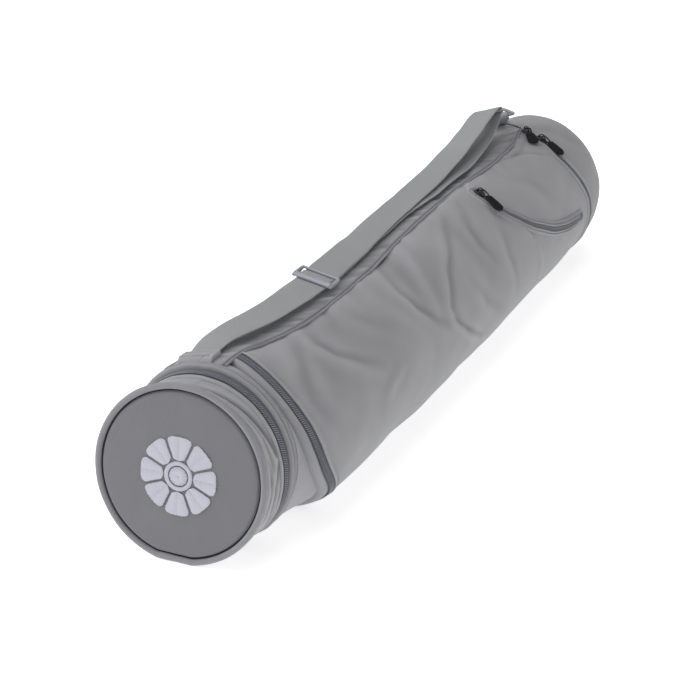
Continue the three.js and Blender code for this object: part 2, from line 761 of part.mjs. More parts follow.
// Buckle: side rails, a broad front bar, a low middle bar and a rear bar
const buckle = new THREE.Group();
buckle.position.copy(overSpine({ along: buckleAlong, lift: buckleLift }));
buckle.rotation.x = buckleRoll * degrees;
bag.add(buckle);
function bar(length, width, thickness, x, y, z) {
  const [round, half] = [Math.min(width, thickness) * 0.28, thickness / 2];
  const outline = new THREE.Shape();
  const [across, along] = [width / 2 - round, length / 2 - round];
  outline.moveTo(-across, -along).lineTo(across, -along).lineTo(across, along).lineTo(-across, along);
  const rounded = new THREE.ExtrudeGeometry(outline, {
    depth: thickness - 2 * round,
    bevelThickness: round,
    bevelSize: round,
    bevelSegments: 1,
  });
  return rounded.translate(x, y, z - half + round);
}
const [barHigh, barLow, barThickness] = [1.1, -1.2, 2.2];
const frontBarX = -buckleLength / 2 + buckleFrontBar / 2;
const rearBarX = buckleLength / 2 - buckleBar / 2;
const middleBarX = (frontBarX + buckleFrontBar / 2 + rearBarX - buckleBar / 2) / 2;
piece('strap_buckle', join([
  bar(buckleRail, buckleLength, buckleThickness, 0, -(buckleWidth - buckleRail) / 2, 0),
  bar(buckleRail, buckleLength, buckleThickness, 0, (buckleWidth - buckleRail) / 2, 0),
  bar(buckleWidth - buckleRail, buckleFrontBar, barThickness, frontBarX, 0, barHigh),
  bar(buckleWidth - buckleRail, buckleBar, barThickness, middleBarX, 0, barLow),
  bar(buckleWidth - buckleRail, buckleBar, barThickness, rearBarX, 0, barHigh),
]), paleNylon, buckle);

// Ring that carries the strap's far end, leaning back over its tab
const ring = new THREE.Group();
const ringAcross = acrossAt(ringRoll);
const ringBack = new THREE.Vector3(Math.cos(ringDip * degrees), 0, -Math.sin(ringDip * degrees));
ringBack.addScaledVector(ringAcross, -ringAcross.dot(ringBack)).normalize();
const ringOut = new THREE.Vector3().crossVectors(ringAcross, ringBack);
ring.matrix.makeBasis(ringBack, ringAcross.clone().negate(), ringOut);
ring.matrix.setPosition(overSpine({ along: ringAlong, lift: ringLift }));
ring.matrix.decompose(ring.position, ring.quaternion, ring.scale);
bag.add(ring);
function roundedFrame() {
  const bevel = ringWire * 0.28;
  const outline = (target, length, width, corner) => {
    const [x, y] = [length / 2, width / 2];
    target.moveTo(-x + corner, -y).lineTo(x - corner, -y);
    target.absarc(x - corner, -y + corner, corner, -Math.PI / 2, 0);
    target.lineTo(x, y - corner).absarc(x - corner, y - corner, corner, 0, Math.PI / 2);
    target.lineTo(-x + corner, y).absarc(-x + corner, y - corner, corner, Math.PI / 2, Math.PI);
    target.lineTo(-x, -y + corner).absarc(-x + corner, -y + corner, corner, Math.PI, Math.PI * 1.5);
    return target;
  };
  const outer = outline(new THREE.Shape(), ringOuterHeight - 2 * bevel, ringOuterWidth - 2 * bevel, 3);
  const [innerHeight, innerWidth] = [ringOuterHeight - 2 * ringWire, ringOuterWidth - 2 * ringWire];
  outer.holes.push(outline(new THREE.Path(), innerHeight + 2 * bevel, innerWidth + 2 * bevel, 1.6));
  const frame = new THREE.ExtrudeGeometry(outer, {
    depth: ringWire - 2 * bevel,
    bevelThickness: bevel,
    bevelSize: bevel,
    bevelSegments: 1,
    curveSegments: 2,
  });
  return frame.translate((ringOuterHeight - ringWire) / 2, 0, bevel - ringWire / 2);
}
piece('strap_ring', roundedFrame(), paleNylon, ring);

// Strap: sewn end, weave through the buckle, reach to the ring and return
buckle.updateMatrix();
const clearOfBar = barThickness / 2 + runningGap / 2 + webbingThickness / 2;
const weave = [
  { x: frontBarX - 2, z: barHigh - clearOfBar },
  { x: frontBarX + 1.6, z: barHigh - clearOfBar },
  { x: middleBarX - 0.9, z: barLow + clearOfBar },
  { x: middleBarX + 0.9, z: barLow + clearOfBar },
  { x: rearBarX - 0.8, z: barHigh - clearOfBar },
  { x: rearBarX + 1.8, z: barHigh - clearOfBar },
];
const loopRadius = (ringWire + webbingThickness) / 2 + runningGap;
const onSpine = (row) => ({ middle: overSpine(row), roll: row.roll });
ring.updateMatrix();
function aroundBar(barAt, radius, turn) {
  const [x, z] = [barAt + radius * Math.cos(turn * degrees), radius * Math.sin(turn * degrees)];
  return { middle: new THREE.Vector3(x, 0, z).applyMatrix4(ring.matrix), roll: ringRoll };
}
const patchStart = baseZip(0) + weltEnd + 2 * sewnGap;
const webbingBow = webbingWidth ** 2 / (8 * baseRadius);
const sewnLift = webbingThickness / 2 + sewnGap + webbingBow / 2;
const sewnEnd = [0.15, 1.05].map((share) => {
  const x = patchStart + share * patchLength;
  const across = strapAngle(x, 0);
  return { middle: onTube(x, across, sewnLift), roll: across };
});
const strapRoute = [
  ...sewnEnd,
  ...strapRise.map(onSpine),
  ...weave.map((row) => ({
    middle: new THREE.Vector3(row.x, 0, row.z).applyMatrix4(buckle.matrix),
    roll: buckleRoll,
  })),
  ...strapReach.map(onSpine),
  ...[90, 45, 0, -45, -90].map((turn) => aroundBar(0, loopRadius, turn)),
  ...strapReturn.map(onSpine),
];
piece('strap', webbingAlong(stationsOn(strapRoute), webbingWidth), webbing);

// Tab that holds the ring, folded round the ring's rear bar and sewn to the spine
const rearBarAt = ringOuterHeight - ringWire;
const tabTurn = ringWire / 2 + 2 * runningGap + webbingThickness / 2;
const tabFeet = [
  { ahead: 30, lift: 2.2 },
  { ahead: 20, lift: 3.0 },
  { ahead: 11, lift: 6.0 },
];
const ringFoot = new THREE.Vector3(rearBarAt, 0, 0).applyMatrix4(ring.matrix);
const tabSide = (raise) => tabFeet.map((row) => {
  const along = (ringFoot.x + row.ahead) / tubeLength;
  return { middle: overSpine({ along, lift: (row.lift + raise) / baseRadius }), roll: ringRoll };
});
const tabRoute = [
  ...tabSide(0),
  ...[-90, -135, 180, 135, 90].map((turn) => aroundBar(rearBarAt, tabTurn, turn)),
  ...tabSide(webbingThickness + sewnGap).reverse(),
];
piece('ring_tab', webbingAlong(stationsOn(tabRoute), tabWidth), webbing);

// Patch sewn over the strap's near end
function strapPatch() {
  const steps = 4;
  const flat = webbingWidth / 2 + 0.6;
  const hem = webbingWidth / 2 + patchHem;
  const sides = [-hem, -flat, -flat / 2, 0, flat / 2, flat, hem];
  const crown = sewnLift + webbingThickness / 2 + sewnGap;
  const surface = (thickness) => (i, k) => {
    const x = patchStart + (patchLength * i) / steps;
    const side = sides[k];
    const hemmed = Math.abs(side) === hem;
    const rise = hemmed ? sewnGap : crown + side ** 2 / discDiameter;
    return onTube(x, strapAngle(x, side), rise + thickness);
  };
  return slab(steps, sides.length - 1, surface(clothWall / 2), surface(0), false);
}
piece('strap_patch', strapPatch(), bagCloth);

// Zip slider with its bridge: the pull direction is +X, the zip's teeth lie below
function sliderBody() {
  const outline = new THREE.Shape();
  const [rear, front, half] = [-sliderLength / 2, sliderLength / 2, sliderWidth / 2];
  outline.moveTo(rear, -half * 0.7).lineTo(rear + 2, -half).lineTo(front - 3, -half);
  outline.quadraticCurveTo(front, -half * 0.7, front, 0);
  outline.quadraticCurveTo(front, half * 0.7, front - 3, half);
  outline.lineTo(rear + 2, half).lineTo(rear, half * 0.7);
  const pressed = { depth: sliderHeight, bevelEnabled: false, curveSegments: 3 };
  const plate = new THREE.ExtrudeGeometry(outline, pressed);
  plate.translate(0, 0, -sliderHeight);
  const [reach, top] = [bridgeSpan / 2 + bridgeWall, bridgeClearHeight + bridgeWall];
  const arch = new THREE.Shape();
  arch.moveTo(-reach, -0.5).lineTo(reach, -0.5).lineTo(reach, top - 1.2).lineTo(reach - 1.2, top);
  arch.lineTo(-reach + 1.2, top).lineTo(-reach, top - 1.2);
  const way = new THREE.Path();
  const inner = bridgeSpan / 2;
  way.moveTo(-inner, 0).lineTo(-inner, bridgeClearHeight).lineTo(inner, bridgeClearHeight);
  way.lineTo(inner, 0);
  arch.holes.push(way);
  const bridge = new THREE.ExtrudeGeometry(arch, { depth: bridgeWidth, bevelEnabled: false });
  bridge.rotateX(Math.PI / 2).translate(0, bridgeWidth / 2, 0);
  return join([plate, bridge]);
}

// Puller: a metal link whose crossbar lies in the bridge, and a moulded rubber grip
const linkLength = pullerWindow + 2 * pullerArm;
function pullerLink() {
  const [half, start] = [pullerWidth / 2, -pullerThickness / 2];
  const outline = new THREE.Shape();
  outline.moveTo(start, -half).lineTo(start + linkLength, -half * 0.8);
  outline.lineTo(start + linkLength, half * 0.8).lineTo(start, half);
  const window = new THREE.Path();
  const [near, far, side] = [-start, -start + pullerWindow, half - pullerArm];
  window.moveTo(near, -side).lineTo(near, side).lineTo(far, side * 0.9).lineTo(far, -side * 0.9);
  outline.holes.push(window);
  const link = new THREE.ExtrudeGeometry(outline, { depth: pullerThickness, bevelEnabled: false });
  return link.translate(0, 0, start);
}
function pullerGrip(length) {
  const start = linkLength - pullerThickness / 2 + gripGap + gripBevel;
  const end = length - gripWidth / 2;
  const [neck, broad] = [pullerWidth / 2 - gripBevel, gripWidth / 2 - gripBevel];
  const outline = new THREE.Shape();
  outline.moveTo(start, -neck).quadraticCurveTo((start + end) / 2, -broad, end, -broad);
  outline.absarc(end, 0, broad, -Math.PI / 2, Math.PI / 2);
  outline.quadraticCurveTo((start + end) / 2, broad, start, neck);
  const grip = new THREE.ExtrudeGeometry(outline, {
    depth: gripThickness - 2 * gripBevel,
    bevelThickness: gripBevel,
    bevelSize: gripBevel,
    bevelSegments: 1,
    curveSegments: 4,
  });
  return grip.translate(0, 0, gripBevel - gripThickness / 2);
}

// A zip slider and puller seated on a zip line that is given as point(angle or share, rise)
function zipPull(name, point, { at, turn, droop }, step, zipRise, length) {
  const rise = zipRise + sliderSeat + sliderHeight;
  const middle = point(at, rise);
  const ahead = new THREE.Vector3().subVectors(point(at + step, rise), point(at - step, rise)).normalize();
  const up = new THREE.Vector3().subVectors(point(at, rise + 5), middle).normalize();
  up.addScaledVector(ahead, -up.dot(ahead)).normalize();
  const left = new THREE.Vector3().crossVectors(up, ahead);
  const slider = new THREE.Group();
  slider.matrix.makeBasis(ahead, left, up);
  slider.matrix.setPosition(middle);
  slider.matrix.decompose(slider.position, slider.quaternion, slider.scale);
  bag.add(slider);
  piece(`${name}_slider`, sliderBody(), blackMetal, slider);
  const puller = new THREE.Group();
  puller.position.set(pullerThickness * 0.35, 0, pivotHeight);
  puller.rotation.set(0, droop * degrees, turn * degrees, 'ZYX');
  slider.add(puller);
  piece(`${name}_puller_link`, pullerLink(), blackMetal, puller);
  piece(`${name}_puller_grip`, pullerGrip(length), blackRubber, puller);
}
const alongMainZip = (angle, rise) => onTube(mainZip(angle), angle, rise);
const alongPocketZip = (share, rise) => {
  const { x, angle } = pocketZipAt(share);
  return onPanel(x, angle, rise);
};
zipPull('main_first', alongMainZip, firstPull, 1, mainZipRise, mainPullerLength);
zipPull('main_second', alongMainZip, secondPull, 1, mainZipRise, mainPullerLength);
zipPull('pocket', alongPocketZip, pocketPull, 0.02, pocketZipRise, pocketPullerLength);

// The origin is the middle of the outer box's underside
const box = new THREE.Box3().setFromObject(bag);
const centre = box.getCenter(new THREE.Vector3());
bag.position.set(-centre.x, -centre.y, -box.min.z);

export default bag;
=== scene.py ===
import math

import bpy
import numpy as np
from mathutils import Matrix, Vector


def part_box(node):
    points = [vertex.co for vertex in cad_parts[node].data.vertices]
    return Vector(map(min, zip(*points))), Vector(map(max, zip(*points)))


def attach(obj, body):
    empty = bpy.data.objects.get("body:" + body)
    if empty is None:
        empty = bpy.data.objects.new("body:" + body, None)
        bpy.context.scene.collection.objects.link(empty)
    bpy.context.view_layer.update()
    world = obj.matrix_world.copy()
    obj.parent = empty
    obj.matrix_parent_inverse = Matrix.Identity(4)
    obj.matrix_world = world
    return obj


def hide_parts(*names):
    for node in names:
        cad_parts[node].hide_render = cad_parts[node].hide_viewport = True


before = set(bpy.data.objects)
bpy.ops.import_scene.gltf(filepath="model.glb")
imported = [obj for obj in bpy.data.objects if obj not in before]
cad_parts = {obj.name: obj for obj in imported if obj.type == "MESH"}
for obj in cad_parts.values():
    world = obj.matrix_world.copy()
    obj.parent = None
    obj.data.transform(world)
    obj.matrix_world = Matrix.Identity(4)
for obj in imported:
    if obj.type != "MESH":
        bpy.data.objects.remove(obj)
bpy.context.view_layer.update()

# Sizes of the bag in millimetres, as its frame has them
DISC_DIAMETER = 160.0
BASE_RADIUS = DISC_DIAMETER / 2
TUBE_LENGTH = 742.0
END_REACH = 20.0
END_SLANT = 11.0
PIPING = 5.6
SPINE_WIDTH = 56.0
BASE_ZIP_ALONG = 38.0
WELT_WIDTH = 6.0
GUSSET_TUCK = 5.0
TAPE_HALF = 5.0
COIL_HALF = 3.0
MAIN_COIL_HALF = 2.1
SEWN_GAP = 0.4
POCKET_RISE = 3.1
WEBBING_WIDTH = 31.0
WEBBING_THICKNESS = 1.4

# How a hoop stands: mm ahead for each mm upwards, and for each mm towards -Y
DISC_LEAN, DISC_SWING = 0.178, 0.093
BASE_ZIP_LEAN, BASE_ZIP_SWING = 0.090, 0.028

# What the sewn pieces share, in mm: walls, how far from a zip's middle the cloth's edges and the
# welt begin, how far the panels reach in under the spine's seams, and the sewing stitches
CLOTH_WALL, TAPE_WALL = 1.1, 0.9
EDGE_AT = COIL_HALF + 1.0
MAIN_EDGE_AT = MAIN_COIL_HALF + 0.8
WELT_AT = COIL_HALF + 1.9
SEAM_LAP, WIDE_SEAM_LAP = 2.0, 2.4
STITCH_PITCH = 3.4
STITCH_LENGTH, STITCH_WIDTH, STITCH_HEIGHT = 2.5, 0.62, 0.5
COIL_PITCH, COIL_LEAN = 2.0, 24
AROUND = np.linspace(0, 360, 361)

# Cross-sections: place, then the centre's shift towards +Y, the half width, the half height
# and the flattened underside. The place is in tube lengths, the rest in base radii.
SECTIONS = np.array([
    (-0.030, 0.238, 1.000, 1.000, 0.020),
    (0.000, 0.238, 1.000, 1.000, 0.020),
    (0.050, 0.206, 0.965, 0.965, 0.022),
    (0.073, 0.200, 1.010, 0.995, 0.024),
    (0.101, 0.150, 1.050, 0.998, 0.028),
    (0.141, 0.056, 1.125, 1.005, 0.032),
    (0.254, 0.010, 1.096, 1.005, 0.034),
    (0.446, 0.005, 1.080, 0.998, 0.034),
    (0.635, 0.008, 1.056, 0.990, 0.034),
    (0.790, 0.025, 1.026, 0.988, 0.034),
    (0.932, 0.045, 1.000, 0.990, 0.032),
    (1.030, 0.060, 0.985, 0.995, 0.030),
])

# The spine panel's right edge and the middle of the strap, across the bag in base radii
SPINE_LINES = np.array([
    (0.040, 0.100, 0.450), (0.113, 0.100, 0.450), (0.148, -0.025, 0.325),
    (0.216, -0.150, 0.200), (0.365, -0.162, 0.188), (0.513, -0.050, 0.300),
    (0.648, -0.010, 0.350), (0.800, -0.060, 0.370), (0.846, -0.035, 0.395),
    (0.873, 0.005, 0.430), (0.905, 0.070, 0.480), (0.945, 0.130, 0.560),
    (1.000, 0.160, 0.600),
])

# Zip lines round the bag: degrees from the top towards -Y, and base radii ahead of the zip
EXPANSION_ALONG = 80.0
EXPANSION_LINE = np.array([
    (0, 0.000), (20, -0.085), (36, -0.125), (52, -0.130), (67, -0.100), (82, -0.060),
    (98, 0.025), (129, 0.290), (165, 0.400), (210, 0.350), (250, 0.200), (290, 0.100),
    (330, 0.025), (360, 0.000),
])
MAIN_ZIP_ALONG = 0.955 * TUBE_LENGTH
MAIN_ZIP_LINE = np.array([
    (-6, -0.330), (4, -0.445), (11, -0.480), (18, -0.500), (27, -0.535), (35, -0.570),
    (42, -0.565), (50, -0.535), (66, -0.435), (82, -0.320), (120, -0.230), (180, -0.150),
    (250, -0.080), (310, -0.020), (332, -0.080), (354, -0.330),
])

# The pocket's zip: share of its length, place in tube lengths, degrees from the top
POCKET_LINE = np.array([
    (0.000, 0.686, 8), (0.080, 0.671, 17), (0.178, 0.669, 32), (0.254, 0.680, 43),
    (0.401, 0.713, 59), (0.502, 0.740, 67), (0.617, 0.771, 75), (0.716, 0.800, 80),
    (0.818, 0.830, 84), (1.000, 0.885, 88),
])

# Broad folds: place, degrees, turn, then length, breadth and depth in base radii
FOLDS = (
    (0.235, 26, 58, 0.85, 0.32, 0.045), (0.175, 34, -72, 0.80, 0.28, 0.030),
    (0.415, 30, 70, 0.80, 0.32, 0.045), (0.500, 24, 60, 0.80, 0.30, -0.030),
    (0.570, 50, -80, 1.10, 0.30, 0.045), (0.330, 66, -78, 0.80, 0.32, -0.030),
    (0.300, 118, 70, 0.70, 0.34, 0.030), (0.480, 250, -70, 0.90, 0.34, 0.045),
    (0.680, 285, 64, 0.90, 0.32, 0.040), (0.250, 290, 72, 0.90, 0.32, 0.040),
)

# Creases pressed into the main panel: depth and half width in mm, where a negative depth is a
# ridge, then places along the bag in mm with degrees from the top
CREASES = (
    (3.0, 6.0, ((152, 14), (146, 24), (150, 37), (168, 50), (186, 58))),
    (2.4, 6.5, ((133, 14), (116, 24), (98, 38), (90, 52), (92, 66))),
    (2.8, 5.5, ((292, 15), (278, 33), (281, 48), (296, 62), (312, 70))),
    (-2.4, 8.0, ((342, 10), (323, 29), (309, 46), (302, 58))),
    (2.6, 4.5, ((430, 15), (390, 31), (358, 44), (330, 64), (334, 78))),
    (2.6, 3.0, ((325, 70), (347, 85), (388, 104))),
    (2.2, 6.0, ((468, 13), (442, 31), (436, 45), (440, 60))),
    (1.8, 6.0, ((480, 44), (466, 65), (469, 92))),
    (-1.3, 5.0, ((532, 78), (540, 94), (548, 114))),
    (-1.4, 5.0, ((214, 70), (192, 75), (178, 80))),
    (2.0, 3.0, ((649, 9), (628, 13), (608, 12), (592, 8))),
    (1.3, 2.4, ((606, 8), (632, 20), (650, 31))),
    (1.6, 3.0, ((519, 54), (529, 68))),
    (1.4, 9.0, ((566, 24), (585, 38), (596, 56))),
    (1.2, 7.0, ((205, 22), (212, 34), (228, 45))),
    (-1.2, 9.0, ((240, 30), (252, 50), (270, 66))),
    (1.5, 6.0, ((380, 60), (400, 80), (436, 98))),
    (1.8, 7.0, ((170, 300), (230, 318), (262, 338))),
    (2.2, 6.0, ((330, 352), (300, 334), (292, 306))),
    (2.0, 7.0, ((420, 350), (446, 322), (440, 290))),
    (-1.8, 8.0, ((372, 346), (366, 318), (380, 288))),
    (2.0, 6.0, ((560, 352), (536, 330), (530, 300), (548, 276))),
    (1.6, 7.0, ((640, 340), (622, 318), (618, 290))),
    (1.6, 7.0, ((190, 262), (240, 252), (280, 256))),
    (1.4, 6.0, ((480, 262), (520, 248), (566, 254))),
)

# Creases in the base band: depth and half width, then shares of the way from the disc to the
# zip with degrees from the top
BAND_CREASES = (
    (3.6, 3.2, ((0.22, 2), (0.36, 20), (0.52, 38), (0.66, 56), (0.80, 70))),
    (2.2, 3.0, ((0.10, 18), (0.26, 36), (0.40, 55), (0.46, 78))),
    (2.6, 2.6, ((0.82, 76), (0.62, 90), (0.60, 104), (0.72, 118))),
    (1.8, 3.0, ((0.20, 70), (0.34, 90), (0.30, 112))),
    (1.2, 2.6, ((0.25, 120), (0.60, 134))),
    (1.4, 2.6, ((0.30, 350), (0.50, 330), (0.70, 318))),
    (1.4, 2.6, ((0.20, 300), (0.60, 282))),
    (1.2, 2.6, ((0.30, 262), (0.70, 240))),
)

# The strap: place in tube lengths, lift above the spine in base radii, roll in degrees
STRAP_RISE = ((0.1210, 0.085, -11), (0.1420, 0.118, -4), (0.1900, 0.110, 2), (0.2400, 0.105, 5),
              (0.2800, 0.105, 7))
BUCKLE = (0.3073, 0.112, 8)
STRAP_REACH = ((0.3350, 0.105, 8), (0.3800, 0.105, 4), (0.4800, 0.100, 0), (0.6000, 0.105, -2),
               (0.6800, 0.150, -6), (0.7400, 0.230, -12), (0.8000, 0.340, -18),
               (0.8550, 0.435, -21))
# A fourth value moves the strap towards -Y, in base radii
STRAP_RETURN = ((0.8550, 0.200, -20, 0.030), (0.8000, 0.115, -15, 0.090),
                (0.7400, 0.060, -11, 0.110), (0.6600, 0.040, -10, 0.080),
                (0.5600, 0.036, -11, 0.030), (0.4600, 0.036, -11), (0.3800, 0.036, -10),
                (0.3450, 0.040, -5), (0.3200, 0.052, 4))
RING = (0.888, 0.350, -22)
RING_DIP = 32.0
RING_WIRE = 3.4
RING_HEIGHT = 26.0
BUCKLE_LENGTH = 20.5
BUCKLE_RAIL = 2.6
BUCKLE_FRONT_BAR = 4.6
BUCKLE_BAR = 2.8
BUCKLE_WIDTH = WEBBING_WIDTH + 2 * (1.9 + BUCKLE_RAIL)
BUCKLE_FRONT_AT = -BUCKLE_LENGTH / 2 + BUCKLE_FRONT_BAR / 2
BUCKLE_REAR_AT = BUCKLE_LENGTH / 2 - BUCKLE_BAR / 2
BUCKLE_MIDDLE_AT = (BUCKLE_FRONT_AT + BUCKLE_FRONT_BAR / 2 + BUCKLE_REAR_AT - BUCKLE_BAR / 2) / 2
RING_WIDTH = WEBBING_WIDTH + 2 * (1.1 + RING_WIRE)
PATCH_LENGTH = 15.0

# The camera's place in mm from the bag's own zero, its turns in degrees and its lens in mm
CAMERA_PLACE = (-1131.3, -740.7, 911.1)
CAMERA_YAW, CAMERA_PITCH = 27.9, 27.8
CAMERA_LENS = 97.71


# Measuring the bag's surface

def read(table, column, at):
    """A table's column between its rows, on a smooth curve through them."""
    keys, values, at = table[:, 0], table[:, column], np.asarray(at, float)
    last = len(keys) - 1
    a = np.clip(np.searchsorted(keys, at, side="left") - 1, 0, last - 1)
    b, before, after = a + 1, np.maximum(a - 1, 0), np.minimum(a + 2, last)
    span = keys[b] - keys[a]
    t = np.clip((at - keys[a]) / span, 0, 1)
    slope_a = (values[b] - values[before]) / (keys[b] - keys[before]) * span
    slope_b = (values[after] - values[a]) / (keys[after] - keys[a]) * span
    start = (2 * t**3 - 3 * t**2 + 1) * values[a] + (t**3 - 2 * t**2 + t) * slope_a
    return start + (3 * t**2 - 2 * t**3) * values[b] + (t**3 - t**2) * slope_b


def section_at(x):
    return [read(SECTIONS, column, x / TUBE_LENGTH) * BASE_RADIUS for column in (1, 2, 3, 4)]


def on_tube(x, angle, rise):
    """Points of the tube: angle in degrees from the top towards -Y, and rise outwards."""
    x, angle, rise = np.broadcast_arrays(*(np.asarray(a, float) for a in (x, angle, rise)))
    aside, wide, tall, press = section_at(x)
    turn = np.radians(angle)
    y = aside - (wide + rise) * np.sin(turn)
    z = tall - press + (tall + rise) * np.cos(turn)
    return np.stack([x, y, np.maximum(z, np.maximum(-rise, 0))], -1)


def angle_across(column, x, across):
    """The angle of a place so many mm across from one of the spine's lines."""
    aside, wide = section_at(x)[:2]
    line = read(SPINE_LINES, column, x / TUBE_LENGTH) * BASE_RADIUS
    return np.degrees(np.arcsin((aside - line - across) / wide))


def spine_angle(x, across):
    return angle_across(1, x, across)


def strap_angle(x, across):
    return angle_across(2, x, across)


def on_hoop(along, lean, swing, angle, rise):
    aside, _, tall, press = section_at(along)
    p = on_tube(along, angle, rise)
    p[..., 0] = along + lean * (p[..., 2] - tall + press) - swing * (p[..., 1] - aside)
    return p


def on_disc(angle, rise, ahead):
    p = on_hoop(0.0, DISC_LEAN, DISC_SWING, angle, rise)
    p[..., 0] += ahead
    return p


def disc_rim(columns):
    """The rim of the disc's cloth, which sits back inside the piping, and its middle."""
    rim = on_disc(np.linspace(0, 360, columns + 1), -PIPING - 1.5, -1.6)
    return rim, rim[:-1].mean(0)


def disc_line(angle):
    return on_disc(angle, 0, 0)[..., 0]


def base_zip(angle):
    return on_hoop(BASE_ZIP_ALONG, BASE_ZIP_LEAN, BASE_ZIP_SWING, angle, 0)[..., 0]


def ahead_of(table, angle):
    start = table[0, 0]
    return read(table, 1, start + np.mod(np.asarray(angle, float) - start, 360)) * BASE_RADIUS


def expansion_zip(angle):
    return EXPANSION_ALONG + ahead_of(EXPANSION_LINE, angle)


def main_zip(angle):
    return MAIN_ZIP_ALONG + ahead_of(MAIN_ZIP_LINE, angle)


def mix(a, b, share):
    return a + (b - a) * share


def sector_angle(place, first, last, turn, share):
    """The angle a share of the way round a panel whose sides follow the spine's seams."""
    angle = np.zeros_like(share)
    for _ in range(6):
        x = place(angle)
        angle = mix(spine_angle(x, first), spine_angle(x, last) + turn, share)
    return angle


def round_mm(angle):
    return np.radians(angle) * BASE_RADIUS


def rumple(a, b, size_a, size_b, seed):
    """Smooth random relief between -1 and 1, in lumps of these sizes in mm."""
    table = np.random.default_rng(seed).uniform(-1, 1, (64, 64))
    p, q = np.broadcast_arrays(np.asarray(a, float) / size_a, np.asarray(b, float) / size_b)
    i, j = np.floor(p).astype(int), np.floor(q).astype(int)
    s, t = p - i, q - j
    s, t = s * s * (3 - 2 * s), t * t * (3 - 2 * t)
    near = mix(table[i % 64, j % 64], table[(i + 1) % 64, j % 64], s)
    far = mix(table[i % 64, (j + 1) % 64], table[(i + 1) % 64, (j + 1) % 64], s)
    return mix(near, far, t)


def crease(p, q, depth, half_width, points):
    """Relief of a pressed line through points: a smooth valley with a low roll beside it."""
    best = np.full(p.shape, 1e9)
    side = np.zeros(p.shape)
    fade = np.zeros(p.shape)
    points = np.asarray(points, float)
    steps = len(points) - 1
    for n in range(steps):
        a, b = points[n], points[n + 1]
        run = b - a
        t = np.clip(((p - a[0]) * run[0] + (q - a[1]) * run[1]) / (run @ run), 0, 1)
        away = np.hypot(p - a[0] - t * run[0], q - a[1] - t * run[1])
        closer = away < best
        best = np.where(closer, away, best)
        sign = np.sign(run[0] * (q - a[1]) - run[1] * (p - a[0]))
        side = np.where(closer, sign * away, side)
        fade = np.where(closer, (n + t) / steps, fade)
    taper = np.sin(np.pi * np.clip(0.08 + 0.84 * fade, 0, 1)) ** 0.8
    fold = -np.exp(-(best / half_width) ** 2)
    roll = 0.42 * np.exp(-((side - 2.0 * half_width) / (1.3 * half_width)) ** 2)
    return depth * taper * (fold + roll)


def broad_folds(x, angle):
    """How deep the broad folds press the cloth in, in mm."""
    depth = 0.0
    for along, at, turn, length, breadth, deep in FOLDS:
        across = round_mm((angle - at + 540) % 360 - 180)
        ahead = x - along * TUBE_LENGTH
        c, s = math.cos(math.radians(turn)), math.sin(math.radians(turn))
        lengthwise = (ahead * c + across * s) / (length * BASE_RADIUS)
        sideways = (across * c - ahead * s) / (breadth * BASE_RADIUS)
        depth = depth + deep * BASE_RADIUS * np.exp(-4 * lengthwise**2 - sideways**2)
    return depth


def edge_calm(share):
    """Keeps the broad folds away from a panel's two edges."""
    return np.minimum(1, 12 * share) * np.minimum(1, 12 * (1 - share))


HEM = np.array([(0, 0.9), (1.8, 1.0), (2.8, 0.55), (3.7, -0.25), (5.0, -0.15), (8.0, 0.0)])


def hem(distance):
    """Relief of cloth that is turned under at an edge and stitched down 4 mm from it."""
    return np.interp(distance, HEM[:, 0], HEM[:, 1])


def pocket_at(share):
    return read(POCKET_LINE, 1, share) * TUBE_LENGTH, read(POCKET_LINE, 2, share)


# Where the frame puts this zero: the buckle gives its place along, the piping its place across
buckle_low, buckle_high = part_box("strap_buckle")
piping_low, piping_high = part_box("base_piping")
ZERO = np.array([
    (buckle_low.x + buckle_high.x) * 500 - BUCKLE[0] * TUBE_LENGTH,
    (piping_low.y + piping_high.y) * 500 - float(section_at(0.0)[0]),
    0.0,
])


def metres(points):
    return (np.asarray(points, float) + ZERO) / 1000


# Shaping pieces

def deselect():
    if bpy.context.object and bpy.context.object.mode != "OBJECT":
        bpy.ops.object.mode_set(mode="OBJECT")
    bpy.ops.object.select_all(action="DESELECT")


def choose(piece):
    deselect()
    piece.select_set(True)
    bpy.context.view_layer.objects.active = piece


MERGE = (bpy.ops.mesh.remove_doubles, {"threshold": 1e-6})
FILL_ENDS = (bpy.ops.mesh.fill_holes, {"sides": 0})
FACE_OUT = (bpy.ops.mesh.normals_make_consistent, {"inside": False})


def edit(piece, *steps):
    """Runs edit-mode steps, each an operator with its settings, on the whole piece."""
    choose(piece)
    bpy.ops.object.mode_set(mode="EDIT")
    bpy.ops.mesh.select_all(action="SELECT")
    for operator, settings in steps:
        operator(**settings)
    bpy.ops.object.mode_set(mode="OBJECT")


def modify(piece, kind, **settings):
    choose(piece)
    modifier = piece.modifiers.new(kind.lower(), kind)
    for key, value in settings.items():
        setattr(modifier, key, value)
    bpy.ops.object.modifier_apply(modifier=modifier.name)


def smooth(piece, degrees):
    choose(piece)
    bpy.ops.object.shade_smooth_by_angle(angle=math.radians(degrees))


def settle(piece, material, body="bag", replaces=()):
    """Gives a finished piece its material and its place in the frame."""
    piece.data.materials.clear()
    piece.data.materials.append(material)
    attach(piece, body)
    if replaces:
        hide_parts(*replaces)


def values_of(items, key):
    """Vectors of a mesh's vertices or faces."""
    values = np.empty(len(items) * 3)
    items.foreach_get(key, values)
    return values.reshape(-1, 3)


